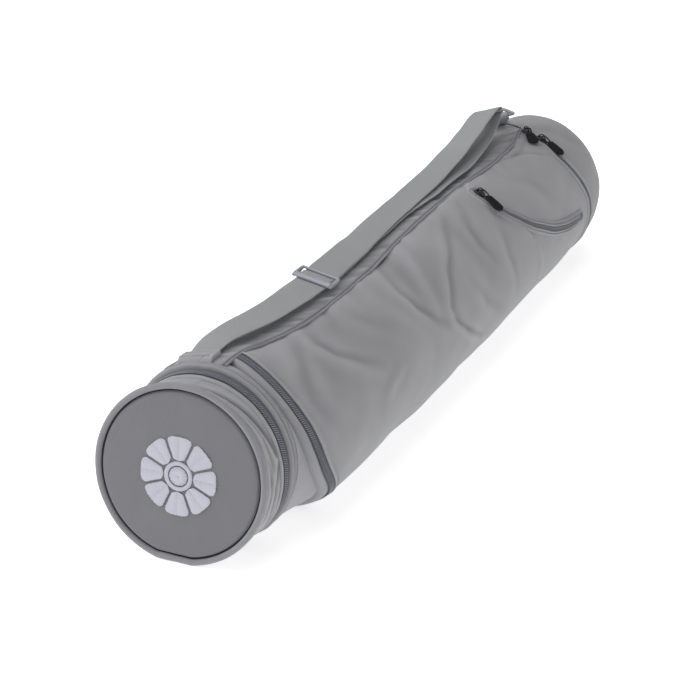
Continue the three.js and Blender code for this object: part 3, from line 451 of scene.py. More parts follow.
def skin(name, points, cut, merged, shade=None):
    """A grid laid over points, in mm, with the cut of the cloth, in mm, as its UV map. shade is
    painted
    shade and light: it runs from 0, darkest, in a crease, over 0.5 on flat cloth, to 1, lightest,
    on a ridge."""
    rows, columns = points.shape[0] - 1, points.shape[1] - 1
    deselect()
    bpy.ops.mesh.primitive_grid_add(x_subdivisions=rows, y_subdivisions=columns, size=1)
    piece = bpy.context.object
    piece.name = piece.data.name = name
    mesh = piece.data
    flat = values_of(mesh.vertices, "co")
    i = np.rint((flat[:, 0] + 0.5) * rows).astype(int)
    k = np.rint((flat[:, 1] + 0.5) * columns).astype(int)
    mesh.vertices.foreach_set("co", metres(points[i, k]).ravel())
    mesh.update()
    if shade is None:
        shade = np.full(points.shape[:2], 0.5)
    tone = mesh.attributes.new("painted_crease_shade", "FLOAT", "POINT")
    tone.data.foreach_set("value", np.clip(shade[i, k], 0, 1).astype(np.float32))
    mesh.uv_layers[0].name = "cut"
    corner = np.empty(len(mesh.loops), int)
    mesh.loops.foreach_get("vertex_index", corner)
    mesh.uv_layers[0].data.foreach_set("uv", cut[i, k][corner].astype(np.float32).ravel())
    if merged:
        edit(piece, MERGE)
    return piece


def turn_out(piece, inside):
    """Turns an open skin's faces away from what lies inside it."""
    faces = piece.data.polygons
    centre, normal = values_of(faces, "center"), values_of(faces, "normal")
    if ((centre - inside(centre)) * normal).sum() < 0:
        piece.data.flip_normals()


def tube_axis(centres):
    x = centres[:, 0] * 1000 - ZERO[0]
    aside, _, tall, press = section_at(x)
    return metres(np.stack([x, aside, tall - press], -1))


def behind_disc(centres):
    return centres + np.array([0.05, 0, 0])


def cloth(name, points, cut, wall=CLOTH_WALL, merged=False, inside=tube_axis, shade=None):
    """A sewn panel of cloth with its thickness on the inner side."""
    piece = skin(name, points, cut, merged, shade)
    turn_out(piece, inside)
    modify(piece, "SOLIDIFY", thickness=wall / 1000, offset=-1.0)
    smooth(piece, 50)
    return piece


def swept(name, rings, closed_path=False, degrees=50, cut=None):
    """A closed body through rings of points, in mm, whose first and last columns meet."""
    piece = skin(name, rings, cut_of(rings) if cut is None else cut, True)
    steps = (FACE_OUT,) if closed_path else (FILL_ENDS, FACE_OUT)
    edit(piece, *steps)
    smooth(piece, degrees)
    return piece


def local_shade(relief, reach, per_mm):
    """How far each place of a grid stands above its surroundings, as painted shade and light:
    darker in hollows, lighter on rises.
    """
    def blur(grid, axis):
        pad = [(0, 0), (0, 0)]
        pad[axis] = (reach, reach)
        wide = np.cumsum(np.insert(np.pad(grid, pad, mode="edge"), 0, 0, axis=axis), axis=axis)
        low, high = [slice(None)] * 2, [slice(None)] * 2
        low[axis], high[axis] = slice(0, grid.shape[axis]), slice(2 * reach + 1, None)
        return (wide[tuple(high)] - wide[tuple(low)]) / (2 * reach + 1)
    around = relief
    for axis in (0, 1, 0, 1):
        around = blur(around, axis)
    return 0.5 + (relief - around) * per_mm


def cut_of(points):
    """The cloth's cut measured on the points themselves: mm along and across."""
    def run(axis):
        step = np.linalg.norm(np.diff(points, axis=axis), axis=-1)
        first = np.zeros_like(np.take(step, [0], axis=axis))
        return np.concatenate([first, np.cumsum(step, axis=axis)], axis=axis)
    return np.stack([run(0), run(1)], -1)


def softened(values, reach):
    """A running mean that keeps straight runs straight up to both ends."""
    padded = np.pad(values, reach, mode="reflect", reflect_type="odd")
    return np.convolve(padded, np.ones(2 * reach + 1) / (2 * reach + 1), mode="valid")


def unit(v):
    return v / np.maximum(np.linalg.norm(v, axis=-1, keepdims=True), 1e-9)


def square_to(ahead, v):
    """The part of v at right angles to ahead, at unit length."""
    return unit(v - (v * ahead).sum(-1, keepdims=True) * ahead)


def run_along(line):
    """mm from the start of a line of points to each of them."""
    return np.concatenate([[0], np.cumsum(np.linalg.norm(np.diff(line, axis=0), axis=1))])


def frames_on(line, above, spacing, closed=False):
    """Frames at even spacing along a line of points: origin, ahead, side and up."""
    run = run_along(line)
    count = max(2, int(round(run[-1] / spacing)))
    at = (np.arange(count) + (0 if closed else 0.5)) * run[-1] / count
    reach = 0.8

    def pick(rows, where):
        return np.stack([np.interp(where, run, rows[:, c]) for c in range(3)], -1)

    origin = pick(line, at)
    further, nearer = np.minimum(at + reach, run[-1]), np.maximum(at - reach, 0)
    ahead = unit(pick(line, further) - pick(line, nearer))
    up = square_to(ahead, pick(above, at) - origin)
    return origin, ahead, np.cross(up, ahead), up


def copies(name, points, faces):
    """One mesh of many copies of a shape: points in mm by copy and vertex, faces of one copy."""
    count = points.shape[1]
    mesh = bpy.data.meshes.new(name)
    mesh.from_pydata(metres(points.reshape(-1, 3)), [], [
        tuple(n * count + v for v in face) for n in range(len(points)) for face in faces])
    piece = bpy.data.objects.new(name, mesh)
    bpy.context.scene.collection.objects.link(piece)
    return piece


def repeated(name, seed, frames, turn=0.0, offset=(0, 0, 0)):
    """One small shape, modelled in mm round zero, set at every frame as a single mesh."""
    shape = values_of(seed.data.vertices, "co") + np.asarray(offset, float)
    faces = [tuple(face.vertices) for face in seed.data.polygons]
    origin, ahead, side, up = frames
    c, s = np.cos(np.radians(turn)), np.sin(np.radians(turn))
    axes = np.stack([ahead * c + side * s, side * c - ahead * s, up], 1)
    points = np.einsum("vk,nkd->nvd", shape, axes) + origin[:, None, :]
    # Nothing reaches through the floor
    points[..., 2] = np.maximum(points[..., 2], 0.02)
    piece = copies(name, points, faces)
    bpy.data.objects.remove(seed)
    smooth(piece, 60)
    return piece


def bead(length, width, height):
    """A small rounded grain for stitches and zip coils, in mm at zero."""
    deselect()
    bpy.ops.mesh.primitive_uv_sphere_add(segments=6, ring_count=4, radius=0.5)
    seed = bpy.context.object
    edit(seed, (bpy.ops.transform.rotate,
                {"value": math.pi / 2, "orient_axis": "Y", "center_override": (0, 0, 0)}),
         (bpy.ops.transform.resize, {"value": (length, width, height)}))
    return seed


def stitches(name, line, above):
    """A row of sewing stitches along a line, with the points 1 mm above it."""
    seed = bead(STITCH_LENGTH, STITCH_WIDTH, STITCH_HEIGHT)
    row = repeated(name, seed, frames_on(line, above, STITCH_PITCH))
    settle(row, sewing_thread)


def outwards(angles):
    """Away from the tube's axis, also where the floor flattens it."""
    turn = np.radians(np.asarray(angles, float))
    return np.stack([turn * 0, -np.sin(turn), np.cos(turn)], -1)


def line_on(place, angles, rise):
    """A line round the tube and the points 1 mm above it."""
    line = on_tube(place(angles), angles, rise)
    return line, line + outwards(angles)


def rolled(x, angles, profile, lump, above):
    """Rings of a rolled edge round the tube. The profile is in mm along and outwards, and what
    of it is higher than above swells by lump."""
    rise = profile[:, 1] + lump[:, None] * (profile[:, 1] > above)
    return on_tube(x[:, None] + profile[:, 0], angles[:, None], rise)


# Materials

def colour(code):
    """sRGB hex to linear, with alpha."""
    parts = [int(code[i:i + 2], 16) / 255 for i in (1, 3, 5)]
    return tuple(p / 12.92 if p <= 0.04045 else ((p + 0.055) / 1.055) ** 2.4 for p in parts) + (1,)


def add(tree, kind, inputs=(), **settings):
    """Adds a node with its settings, and its inputs as values or links."""
    made = tree.nodes.new(kind)
    for key, value in settings.items():
        setattr(made, key, value)
    for socket, value in dict(inputs).items():
        if isinstance(value, bpy.types.NodeSocket):
            tree.links.new(value, made.inputs[socket])
        else:
            made.inputs[socket].default_value = value
    return made


def start(name, **shader):
    material = bpy.data.materials.new(name)
    material.use_nodes = True
    tree = material.node_tree
    tree.nodes.clear()
    bsdf = add(tree, "ShaderNodeBsdfPrincipled", shader)
    add(tree, "ShaderNodeOutputMaterial", {"Surface": bsdf.outputs["BSDF"]})
    return material, tree, bsdf


def woven(name, dark, light, spacing, twill=0.0, bump=0.25, lumps=2.5, sheen=0.25,
          roughness=0.85):
    """Woven cloth in its cut's millimetres. spacing is the drawn distance between threads, twill
    leans them, and lumps is the size of the yarn's uneven patches."""
    material, tree, bsdf = start(name, **{
        "Roughness": roughness, "Sheen Weight": sheen, "Sheen Roughness": 0.55,
        "Specular IOR Level": 0.3,
    })
    cut = add(tree, "ShaderNodeUVMap", uv_map="cut").outputs["UV"]
    parts = add(tree, "ShaderNodeSeparateXYZ", {"Vector": cut})
    across = parts.outputs["Y"]
    slant = add(tree, "ShaderNodeMath", {0: across, 1: twill, 2: parts.outputs["X"]},
                operation="MULTIPLY_ADD")
    waves = []
    for source in (slant.outputs[0], across):
        phase = add(tree, "ShaderNodeMath", {0: source, 1: 2 * math.pi / spacing},
                    operation="MULTIPLY")
        wave = add(tree, "ShaderNodeMath", {0: phase.outputs[0]}, operation="SINE")
        waves.append(wave.outputs[0])
    weave = add(tree, "ShaderNodeMath", {0: waves[0], 1: waves[1]}, operation="MULTIPLY")
    patches = add(tree, "ShaderNodeTexNoise", {"Vector": cut, "Scale": 1 / lumps, "Detail": 4.0,
                                               "Roughness": 0.6})
    drift = add(tree, "ShaderNodeTexNoise", {"Vector": cut, "Scale": 1 / 45, "Detail": 2.0})
    tone = add(tree, "ShaderNodeMath", {0: patches.outputs["Fac"], 1: 0.7, 2: weave.outputs[0]},
               operation="MULTIPLY_ADD")
    tone = add(tree, "ShaderNodeMath", {0: drift.outputs["Fac"], 1: 0.9, 2: tone.outputs[0]},
               operation="MULTIPLY_ADD")
    share = add(tree, "ShaderNodeMapRange", {"Value": tone.outputs[0], "From Min": -0.1,
                                             "From Max": 1.7})
    shade = add(tree, "ShaderNodeMix", {"Factor": share.outputs["Result"]}, data_type="RGBA")
    # The Mix node has one pair of sockets for each kind of data, so the colours are set by place
    shade.inputs[6].default_value, shade.inputs[7].default_value = colour(dark), colour(light)
    # Painted shade and light: the colour is darkened in the creases and lightened on the ridges,
    # as each piece's relief gives
    folds = add(tree, "ShaderNodeAttribute", attribute_name="painted_crease_shade")
    depth = add(tree, "ShaderNodeMapRange", {"Value": folds.outputs["Fac"], "To Min": 0.62,
                                             "To Max": 1.38})
    shaded_colour = add(tree, "ShaderNodeVectorMath",
               {0: shade.outputs[2], "Scale": depth.outputs["Result"]}, operation="SCALE")
    tree.links.new(shaded_colour.outputs["Vector"], bsdf.inputs["Base Color"])
    height = add(tree, "ShaderNodeMath", {0: patches.outputs["Fac"], 1: 0.8, 2: weave.outputs[0]},
                 operation="MULTIPLY_ADD")
    relief = add(tree, "ShaderNodeBump", {"Height": height.outputs[0], "Strength": bump,
                                          "Distance": 0.0004})
    tree.links.new(relief.outputs["Normal"], bsdf.inputs["Normal"])
    return material


def moulded(name, dark, light, grain, bump, **shader):
    """A moulded or lacquered surface whose grain, in mm, varies its tone, gloss and relief."""
    gloss = shader.pop("gloss")
    material, tree, bsdf = start(name, **shader)
    place = add(tree, "ShaderNodeTexCoord").outputs["Object"]
    noise = add(tree, "ShaderNodeTexNoise", {"Vector": place, "Scale": 1000 / grain,
                                             "Detail": 3.0})
    shade = add(tree, "ShaderNodeMix", {"Factor": noise.outputs["Fac"]}, data_type="RGBA")
    shade.inputs[6].default_value, shade.inputs[7].default_value = colour(dark), colour(light)
    tree.links.new(shade.outputs[2], bsdf.inputs["Base Color"])
    rough = add(tree, "ShaderNodeMapRange", {"Value": noise.outputs["Fac"], "To Min": gloss[0],
                                             "To Max": gloss[1]})
    tree.links.new(rough.outputs["Result"], bsdf.inputs["Roughness"])
    relief = add(tree, "ShaderNodeBump", {"Height": noise.outputs["Fac"], "Strength": bump,
                                          "Distance": 0.0002})
    tree.links.new(relief.outputs["Normal"], bsdf.inputs["Normal"])
    return material


# Brushed cotton canvas: soft and matt, with a faint cloudiness. Threads of 0.5 mm are drawn at
# 1.3 mm, the finest that shows.
bag_canvas = woven("brushed_cotton_canvas", "#8a8a8d", "#9c9ca0", 1.3, bump=0.22)
# Cotton twill, a shade darker and tighter than the bag's canvas. Ribs of 0.6 mm drawn at 1.4 mm.
base_twill = woven("cotton_twill", "#707074", "#7e7e82", 1.4, twill=0.8, bump=0.28, lumps=1.8)
# Bias-cut canvas drawn tight over a cord: slightly smoother and paler where it is stretched
piping_canvas = woven("bias_cut_canvas", "#808085", "#94949a", 1.2, twill=1.0, bump=0.2)
# A near-black canvas strip that paints the shadow in the groove between the disc and its piping
seam_shadow_cloth = woven("painted_seam_shadow_canvas", "#2e2e34", "#3c3c42", 1.2, bump=0.2, sheen=0.0)
# Polypropylene webbing: a slight gloss, and ribs of 1.1 mm along the strap drawn at 1.5 mm
strap_webbing = woven("polypropylene_webbing", "#8f9293", "#a1a4a5", 1.5, bump=0.5, lumps=1.6,
                      sheen=0.1, roughness=0.7)
# Herringbone polyester tape, denser and darker than the cloth round it
zip_tape = woven("polyester_zip_tape", "#4e4e57", "#63636c", 1.1, twill=1.0, bump=0.4, lumps=1.5,
                 roughness=0.75)
# Extruded nylon monofilament: a small sheen on each turn of the coil
zip_coil = moulded("nylon_zip_coil", "#74747e", "#93939d", 1.5, 0.1, gloss=(0.35, 0.5))
# Trilobal rayon thread: pale, with a silky gleam on every strand
embroidery_thread = moulded("rayon_embroidery_thread", "#b2b2c0", "#cdcdd8", 1.2, 0.2,
                            gloss=(0.4, 0.6))
# Spun polyester sewing thread, near the cloth's own grey
sewing_thread = moulded("polyester_sewing_thread", "#6f6f75", "#8b8b90", 1.0, 0.2,
                        gloss=(0.6, 0.8))
# Injection-moulded nylon: smooth, faintly milky, with soft highlights on its rounded bars
moulded_nylon = moulded("injection_moulded_nylon", "#9b9da6", "#a9abb3", 6.0, 0.05,
                        gloss=(0.28, 0.4), **{"IOR": 1.53})
# Zinc casting under black lacquer: hard bright highlights on near black
black_lacquer = moulded("black_lacquered_zinc", "#08080a", "#131316", 2.0, 0.06,
                        gloss=(0.16, 0.3), **{"Metallic": 0.35, "Coat Weight": 0.6,
                                              "Coat Roughness": 0.1})
# Moulded soft PVC: matt black with a fine pebble from the mould
black_rubber = moulded("matt_soft_pvc", "#0a0a0c", "#141416", 0.6, 0.3, gloss=(0.5, 0.65),
                       **{"Specular IOR Level": 0.22})


# The base and its hoops

def base_disc():
    # Share of the way to the rim, and mm behind the face: the cloth turns in at its edge
    share = np.concatenate([np.linspace(0, 0.955, 51), np.linspace(0.961, 1, 10)])
    rim, centre = disc_rim(160)
    points = centre + share[:, None, None] * (rim - centre)
    turned = np.interp(share, [0.95, 0.975, 0.99, 1], [0, 0.25, 0.9, 2.6])
    across, up = points[..., 1], points[..., 2]
    wave = 0.45 * rumple(across, up, 48, 40, 5) + 0.12 * rumple(across, up, 14, 17, 6)
    points[..., 0] += turned[:, None] + wave * np.minimum(1, 8 * (1 - share))[:, None]
    points[..., 0] -= 0.9 * np.cos(0.5 * np.pi * share)[:, None]
    cut = np.stack([across, up], -1)
    piece = cloth("base_disc_cloth", points, cut, 2.6, True, behind_disc)
    settle(piece, base_twill, replaces=["base_disc"])


def base_piping():
    angle = np.linspace(0, 360, 241)
    half = PIPING / 2
    # The piping's two ends overlap near the floor, where it swells and steps
    lap = np.exp(-((angle - 187) / 4.5) ** 2)
    radius = half * (1 + 0.10 * lap + 0.02 * rumple(angle, 0, 9, 1, 21))
    path = on_disc(angle, -half, 0.25 * rumple(angle, 0, 14, 1, 22))
    ahead = unit(np.gradient(path, axis=0))
    out = square_to(ahead, outwards(angle))
    side = np.cross(ahead, out)
    path[:, 2] = np.maximum(path[:, 2], half + 0.1)
    turn = np.radians(np.linspace(0, 360, 15))
    rings = (path[:, None] + side[:, None] * (radius[:, None] * np.cos(turn))[..., None]
             + out[:, None] * (radius[:, None] * np.sin(turn))[..., None])
    rings[-1] = rings[0]
    rings[..., 2] = np.maximum(rings[..., 2], 0)
    piece = swept("base_piping_cord", rings, True)
    settle(piece, piping_canvas, replaces=["base_piping"])
    # A dark strip painted as the shadow in the groove between the piping and the disc
    rises = np.linspace(-PIPING - 2.4, -PIPING + 1.4, 5)
    groove = np.stack([on_disc(angle, rise, 0.9) for rise in rises], 1)
    seam = cloth("base_disc_seam_shadow", groove, cut_of(groove), 0.8, True, behind_disc)
    settle(seam, seam_shadow_cloth)


def rosette():
    """Eight petals, each a fan of raised satin stitches round a ring and a button of thread."""
    _, centre = disc_rim(160)
    out = unit(np.array([-1, -DISC_SWING, DISC_LEAN]))
    up = unit(np.array([0, 0, 1.0]) - out * out[2])
    right = np.cross(up, out)
    origin = centre + out
    petals, root, tip = 8, 14.2, 34.6

    def ray(share):
        return np.array([math.sin(2 * math.pi * share), math.cos(2 * math.pi * share)])

    # Each stitch's start and end on the disc, and how high it arches, in mm
    strands = []
    for petal in range(petals):
        radial = ray(petal / petals)
        beside = np.array([radial[1], -radial[0]])
        for row in np.linspace(0, 1, 31):
            distance = mix(root, tip, row)
            round_tip = math.sqrt(max(0.0, 1 - (max(0.0, row - 0.62) / 0.385) ** 2))
            half = max(1.2, (distance * 0.405 - 0.35) * round_tip)
            for way in (-1, 1):
                end = radial * (distance + 2.0 * round_tip) + beside * way * half
                strands.append((*radial * distance, *end, 0.75))
    for count, inner, outer, lift in ((96, 9.6, 13.2, 0.7), (48, 0.4, 8.4, 0.9)):
        for n in range(count):
            radial = ray(n / count)
            strands.append((*radial * inner, *radial * outer, lift))
    strands = np.array(strands)
    wander = np.random.default_rng(11).uniform(-0.22, 0.22, (len(strands), 2))
    start, end = (origin + p[:, :1] * right + p[:, 1:] * up
                  for p in (strands[:, :2], strands[:, 2:4] + wander))
    # Each strand is a low six-sided body in four steps
    steps, sides = 5, 6
    t = np.linspace(0, 1, steps)
    arch = 0.75 * np.sin(np.pi * np.clip(t, 0.04, 0.96)) ** 0.5
    path = start[:, None] + (end - start)[:, None] * t[:, None]
    path = path + out * (strands[:, 4, None, None] * arch[:, None])
    side = np.cross(out, unit(end - start))
    width = 0.62 * (0.35 + 0.65 * np.sin(np.pi * np.clip(t, 0.1, 0.9)) ** 0.5)
    turn = np.linspace(0, 2 * math.pi, sides + 1)[:-1]
    body = (path[:, :, None] + side[:, None, None] * (width[:, None] * np.cos(turn))[..., None]
            + out * (width[:, None] * 0.7 * np.sin(turn))[..., None])
    faces = [tuple(range(sides)), tuple(range((steps - 1) * sides, steps * sides))]
    for a in range(0, (steps - 1) * sides, sides):
        for k in range(sides):
            after = (k + 1) % sides
            faces.append((a + k, a + after, a + sides + after, a + sides + k))
    piece = copies("rosette_stitches", body.reshape(len(strands), steps * sides, 3), faces)
    edit(piece, FACE_OUT)
    smooth(piece, 60)
    settle(piece, embroidery_thread, replaces=["base_rosette"])


def base_band():
    share, angle = np.meshgrid(np.linspace(0, 1, 33), AROUND, indexing="ij")
    first, last = PIPING / 2 + 0.1, -EDGE_AT
    x = mix(disc_line(angle), base_zip(angle), share) + mix(first, last, share)
    length = base_zip(angle) - disc_line(angle) + last - first
    from_disc, from_zip = share * length, (1 - share) * length
    s = round_mm(angle)
    rise = 0.72 * hem(from_zip) - 0.9 - 0.9 * np.exp(-(from_disc / 1.6) ** 2)
    rise = rise + 0.35 * rumple(s, from_disc, 26, 14, 31)
    rise = rise + 0.35 * rumple(s, share, 5.5, 1, 32) * np.exp(-from_disc / 7)
    rise = rise + 0.30 * rumple(s, share, 7, 1, 33) * np.exp(-from_zip / 8)
    # The creases are drawn on a band of one even length in mm
    even = 28
    for depth, half_width, points in BAND_CREASES:
        line = np.array([(part * even, round_mm(at)) for part, at in points])
        rise = rise + crease(share * even, s, depth, half_width, line)
    points = on_tube(x, angle, rise)
    points[:, -1] = points[:, 0]
    piece = cloth("base_band_cloth", points, np.stack([x, s], -1), merged=True,
                  shade=local_shade(rise, 4, 0.42))
    settle(piece, bag_canvas, replaces=["base_band"])
    for name, place, height in (
        ("base_band_stitches", lambda a: disc_line(a) + PIPING / 2 + 2.4, -1.0),
        ("base_zip_front_stitches", lambda a: base_zip(a) - COIL_HALF - 4.7, -0.9),
    ):
        stitches(name, *line_on(place, AROUND, height))


def zip_chain(name, place, angles, rise, closed=True, half=3.1):
    """Tape, and a coil whose slanted turns lie in two rows that meet along the middle. half is
    the width of one row."""
    rows = np.linspace(-TAPE_HALF, TAPE_HALF, 9)[:, None]
    points = on_tube(place(angles) + rows, angles, rise - 1.2)
    cut = np.stack(np.broadcast_arrays(rows, round_mm(angles)), -1)
    tape = cloth(f"{name}_tape", points, cut, TAPE_WALL, closed)
    settle(tape, zip_tape, replaces=[name])
    frames = frames_on(*line_on(place, angles, rise - 0.75), COIL_PITCH, closed)
    for row, way in (("front", -1), ("back", 1)):
        seed = bead(1.25, half + 0.5, 1.7)
        coil = repeated(f"{name}_coil_{row}", seed, frames, -COIL_LEAN, (0, way * half / 2, 0))
        settle(coil, zip_coil)


def base_welt():
    angle = np.linspace(0, 360, 301)
    # mm across the welt and its rise: two rolls with a stitched groove between them
    profile = np.array([(0.0, -2.2), (0.1, -0.2), (0.6, 1.0), (1.6, 1.6), (2.6, 1.2), (3.3, 0.0),
                        (3.7, -1.2), (4.2, 0.0), (5.0, 0.9), (6.2, 0.8), (7.3, 0.1), (8.4, -0.9),
                        (9.0, -1.8), (9.0, -2.4), (0.0, -2.2)])
    s = round_mm(angle)
    x = base_zip(angle) + WELT_AT + 0.35 * rumple(s, 0, 40, 1, 42)
    rings = rolled(x, angle, profile, 0.25 * rumple(s, 0, 9, 1, 41), 0)
    rings[-1] = rings[0]
    piece = swept("base_welt_roll", rings, True, 60)
    settle(piece, bag_canvas, replaces=["base_welt"])
    groove = line_on(lambda a: base_zip(a) + WELT_AT + 5.6, AROUND, 0.85)
    stitches("base_welt_stitches", *groove)


def panel_grid(first, last, share, across, sides, turn):
    """Places and angles of a panel between two lines round the bag, each with its distance in
    mm. The panel's sides are so many mm across from the spine's right seam."""
    def place(a):
        return mix(first[0](a), last[0](a), share) + mix(first[1], last[1], share)
    angle = sector_angle(place, *sides, turn, across)
    return place(angle), angle


def gusset():
    begin, end = WELT_AT + 8.6, -TAPE_HALF - 3.6
    share, round_share = np.meshgrid(np.linspace(0, 1, 25), np.linspace(0, 1, 301), indexing="ij")
    x, angle = panel_grid((base_zip, begin), (expansion_zip, end), share, round_share,
                          (-WIDE_SEAM_LAP, SPINE_WIDTH + WIDE_SEAM_LAP), 360)
    s = round_mm(angle)
    ahead = share * np.maximum(expansion_zip(angle) - base_zip(angle) + end - begin, 4)
    rise = -0.9 - (GUSSET_TUCK - 0.6) * share**1.4
    rise = rise + 0.55 * rumple(s, ahead, 34, 22, 51) * np.sin(np.pi * share)
    rise = rise + 0.25 * rumple(s, share, 6, 1, 52) * np.exp(-ahead / 6)
    piece = cloth("gusset_cloth", on_tube(x, angle, rise), np.stack([x, s], -1),
                  shade=local_shade(rise, 3, 0.4))
    settle(piece, bag_canvas, replaces=["gusset"])


def panel_angles(place, count):
    """Angles round the bag from one spine seam to the other, on a line."""
    share = np.linspace(0, 1, count)
    return sector_angle(place, -SEAM_LAP, SPINE_WIDTH + SEAM_LAP, 360, share)


def expansion():
    angles = panel_angles(expansion_zip, 321)
    zip_chain("expansion_zip", expansion_zip, angles, 0.6, closed=False)
    # The gusset's cloth is folded up into a soft roll in front of the coil: mm along and rise
    profile = np.array([(-9.6, -5.2), (-9.4, -3.4), (-8.6, -1.6), (-7.4, -0.5), (-5.9, 0.1),
                        (-4.5, 0.1), (-3.6, -0.4), (-3.5, -1.5), (-5.0, -2.4), (-7.2, -3.9),
                        (-8.4, -5.7), (-9.6, -5.2)])
    swell = 0.35 * rumple(round_mm(angles), 0, 22, 1, 61)
    rings = rolled(expansion_zip(angles), angles, profile, swell, -3)
    settle(swept("expansion_zip_fold", rings, degrees=60), bag_canvas)


def panel_relief(x, angle, share):
    """Everything that lifts or presses the main panel's cloth, in mm."""
    s = round_mm(angle)
    ahead = np.maximum(x - expansion_zip(angle) - EDGE_AT, 0)
    behind = np.maximum(main_zip(angle) - MAIN_EDGE_AT - x, 0)
    relief = -broad_folds(x, angle) * edge_calm(share)
    calm = np.clip(ahead / 12, 0, 1) * np.clip(behind / 12, 0, 1)
    for depth, half_width, points in CREASES:
        line = np.array([(along, round_mm(at)) for along, at in points])
        relief = relief + 0.8 * crease(x, s, depth, half_width, line) * calm
    relief = relief + 1.1 * rumple(x, s, 62, 54, 71) * calm
    relief = relief + 0.45 * rumple(x, s + x * 0.5, 30, 24, 72) * calm
    relief = relief + 0.12 * rumple(x - s * 0.4, s, 13, 11, 73) * calm
    right = round_mm(angle - spine_angle(x, -WIDE_SEAM_LAP))
    left = round_mm(spine_angle(x, SPINE_WIDTH + WIDE_SEAM_LAP) + 360 - angle)
    for seed, seam in ((74, right), (75, left)):
        pull = 0.6 * rumple(x + seam * 0.5, 0, 9, 1, seed)
        pull = pull + 0.8 * rumple(x, seam, 21, 40, seed + 10)
        relief = relief + pull * np.exp(-np.maximum(seam, 0) / 13)
        relief = relief - 0.9 * np.exp(-(seam / 1.6) ** 2)
    for seed, edge in ((76, ahead), (77, behind)):
        relief = relief + 0.28 * rumple(s, edge, 7, 40, seed) * np.exp(-edge / 9) + 0.9 * hem(edge)
    return relief


def main_panel():
    # The columns lie closer together on the side that faces -Y, where the folds are
    spread = softened(np.interp(np.linspace(0, 1, 181), [0, 0.5, 1], [0, 0.36, 1]), 12)
    spread[0], spread[-1] = 0, 1
    along = np.concatenate([np.linspace(0, 0.016, 7)[:-1], np.linspace(0.016, 0.984, 229),
                            np.linspace(0.984, 1, 7)[1:]])
    share, round_share = np.meshgrid(along, spread, indexing="ij")
    x, angle = panel_grid((expansion_zip, EDGE_AT), (main_zip, -MAIN_EDGE_AT), share, round_share,
                          (-SEAM_LAP, SPINE_WIDTH + SEAM_LAP), 360)
    relief = panel_relief(x, angle, share)
    piece = cloth("main_panel_cloth", on_tube(x, angle, relief),
                  np.stack([x, round_mm(angle)], -1), shade=local_shade(relief, 4, 0.2))
    settle(piece, bag_canvas, replaces=["main_panel"])
    for name, place in (
        ("expansion_zip_stitches", lambda a: expansion_zip(a) + COIL_HALF + 4.8),
        ("main_zip_front_stitches", lambda a: main_zip(a) - MAIN_COIL_HALF - 4.6),
    ):
        stitches(name, *line_on(place, panel_angles(place, 361), 0.0))


def end_cap():
    # Share of the way to the far point, and share of the way in to the middle
    rows = np.array([(0.00, 0.000), (0.22, 0.004), (0.45, 0.024), (0.65, 0.075), (0.80, 0.165),
                     (0.92, 0.350), (0.98, 0.680), (1.00, 1.000)])
    # Finer rows, even along the cup's own curve
    fine = np.linspace(0, len(rows) - 1, 400)
    curve = np.stack([softened(np.interp(fine, range(len(rows)), rows[:, c]), 20)
                      for c in (0, 1)], -1)
    run = run_along(curve * (70, BASE_RADIUS))
    even = np.linspace(0, run[-1], 71)
    shares, shrinks = (np.clip(np.interp(even, run, curve[:, c]), 0, 1) for c in (0, 1))
    shrinks[0], shrinks[-1] = 0, 1
    share, round_share = np.meshgrid(shares, np.linspace(0, 1, 241), indexing="ij")
    shrink = np.broadcast_to(shrinks[:, None], share.shape)
    first = spine_angle(main_zip(0.0) + MAIN_EDGE_AT, -WIDE_SEAM_LAP)
    angle = first + 360 * round_share
    lean = END_SLANT * np.cos(np.radians(angle)) * (1 - shrink)
    x = mix(main_zip(angle) + MAIN_EDGE_AT, TUBE_LENGTH + END_REACH + lean, share)
    aside, _, tall, press = section_at(x)
    s = round_mm(angle)
    edge = share * 60
    relief = hem(edge) * 0.9 + 0.3 * rumple(s, edge, 7, 40, 81) * np.exp(-edge / 9)
    lumps = rumple(s, share * 70, 46, 40, 82)
    lumps = lumps + 0.5 * rumple(s + share * 30, share * 70, 20, 26, 83)
    relief = relief + lumps * np.sin(np.pi * share)
    # Dents beside the sliders, where the end is pulled on to open the bag: degrees from the top,
    # then mm from the zip, deep and across
    for at, down, deep, size in ((14, 17, 1.8, 13), (32, 26, 1.4, 14), (-10, 28, 1.8, 16),
                                 (56, 30, 1.0, 15)):
        beside = s - round_mm(at)
        away = (beside / size) ** 2 + ((edge - down - beside * 0.4) / 8) ** 2
        relief = relief - deep * np.exp(-away)
    points = on_tube(x, angle, relief)
    points[..., 1] = mix(points[..., 1], aside, shrink)
    points[..., 2] = mix(points[..., 2], tall - press, shrink)
    dish = 1.2 * rumple(points[..., 1], points[..., 2], 30, 26, 84) * np.clip(shrink * 3, 0, 1)
    points[..., 0] += dish * (1 - shrink**8)
    points[:, -1] = points[:, 0]
    points[-1] = points[-1].mean(0)
    cut = np.stack([x + shrink * BASE_RADIUS, s], -1)
    # The end's painted shade is set a little darker all over
    piece = cloth("end_cap_cloth", points, cut, merged=True,
                  shade=local_shade(relief, 4, 0.16) - 0.1)
    settle(piece, bag_canvas, replaces=["end_cap"])
    stitches("main_zip_back_stitches", *line_on(lambda a: main_zip(a) + MAIN_COIL_HALF + 4.6,
                                                first + AROUND, 0.0))


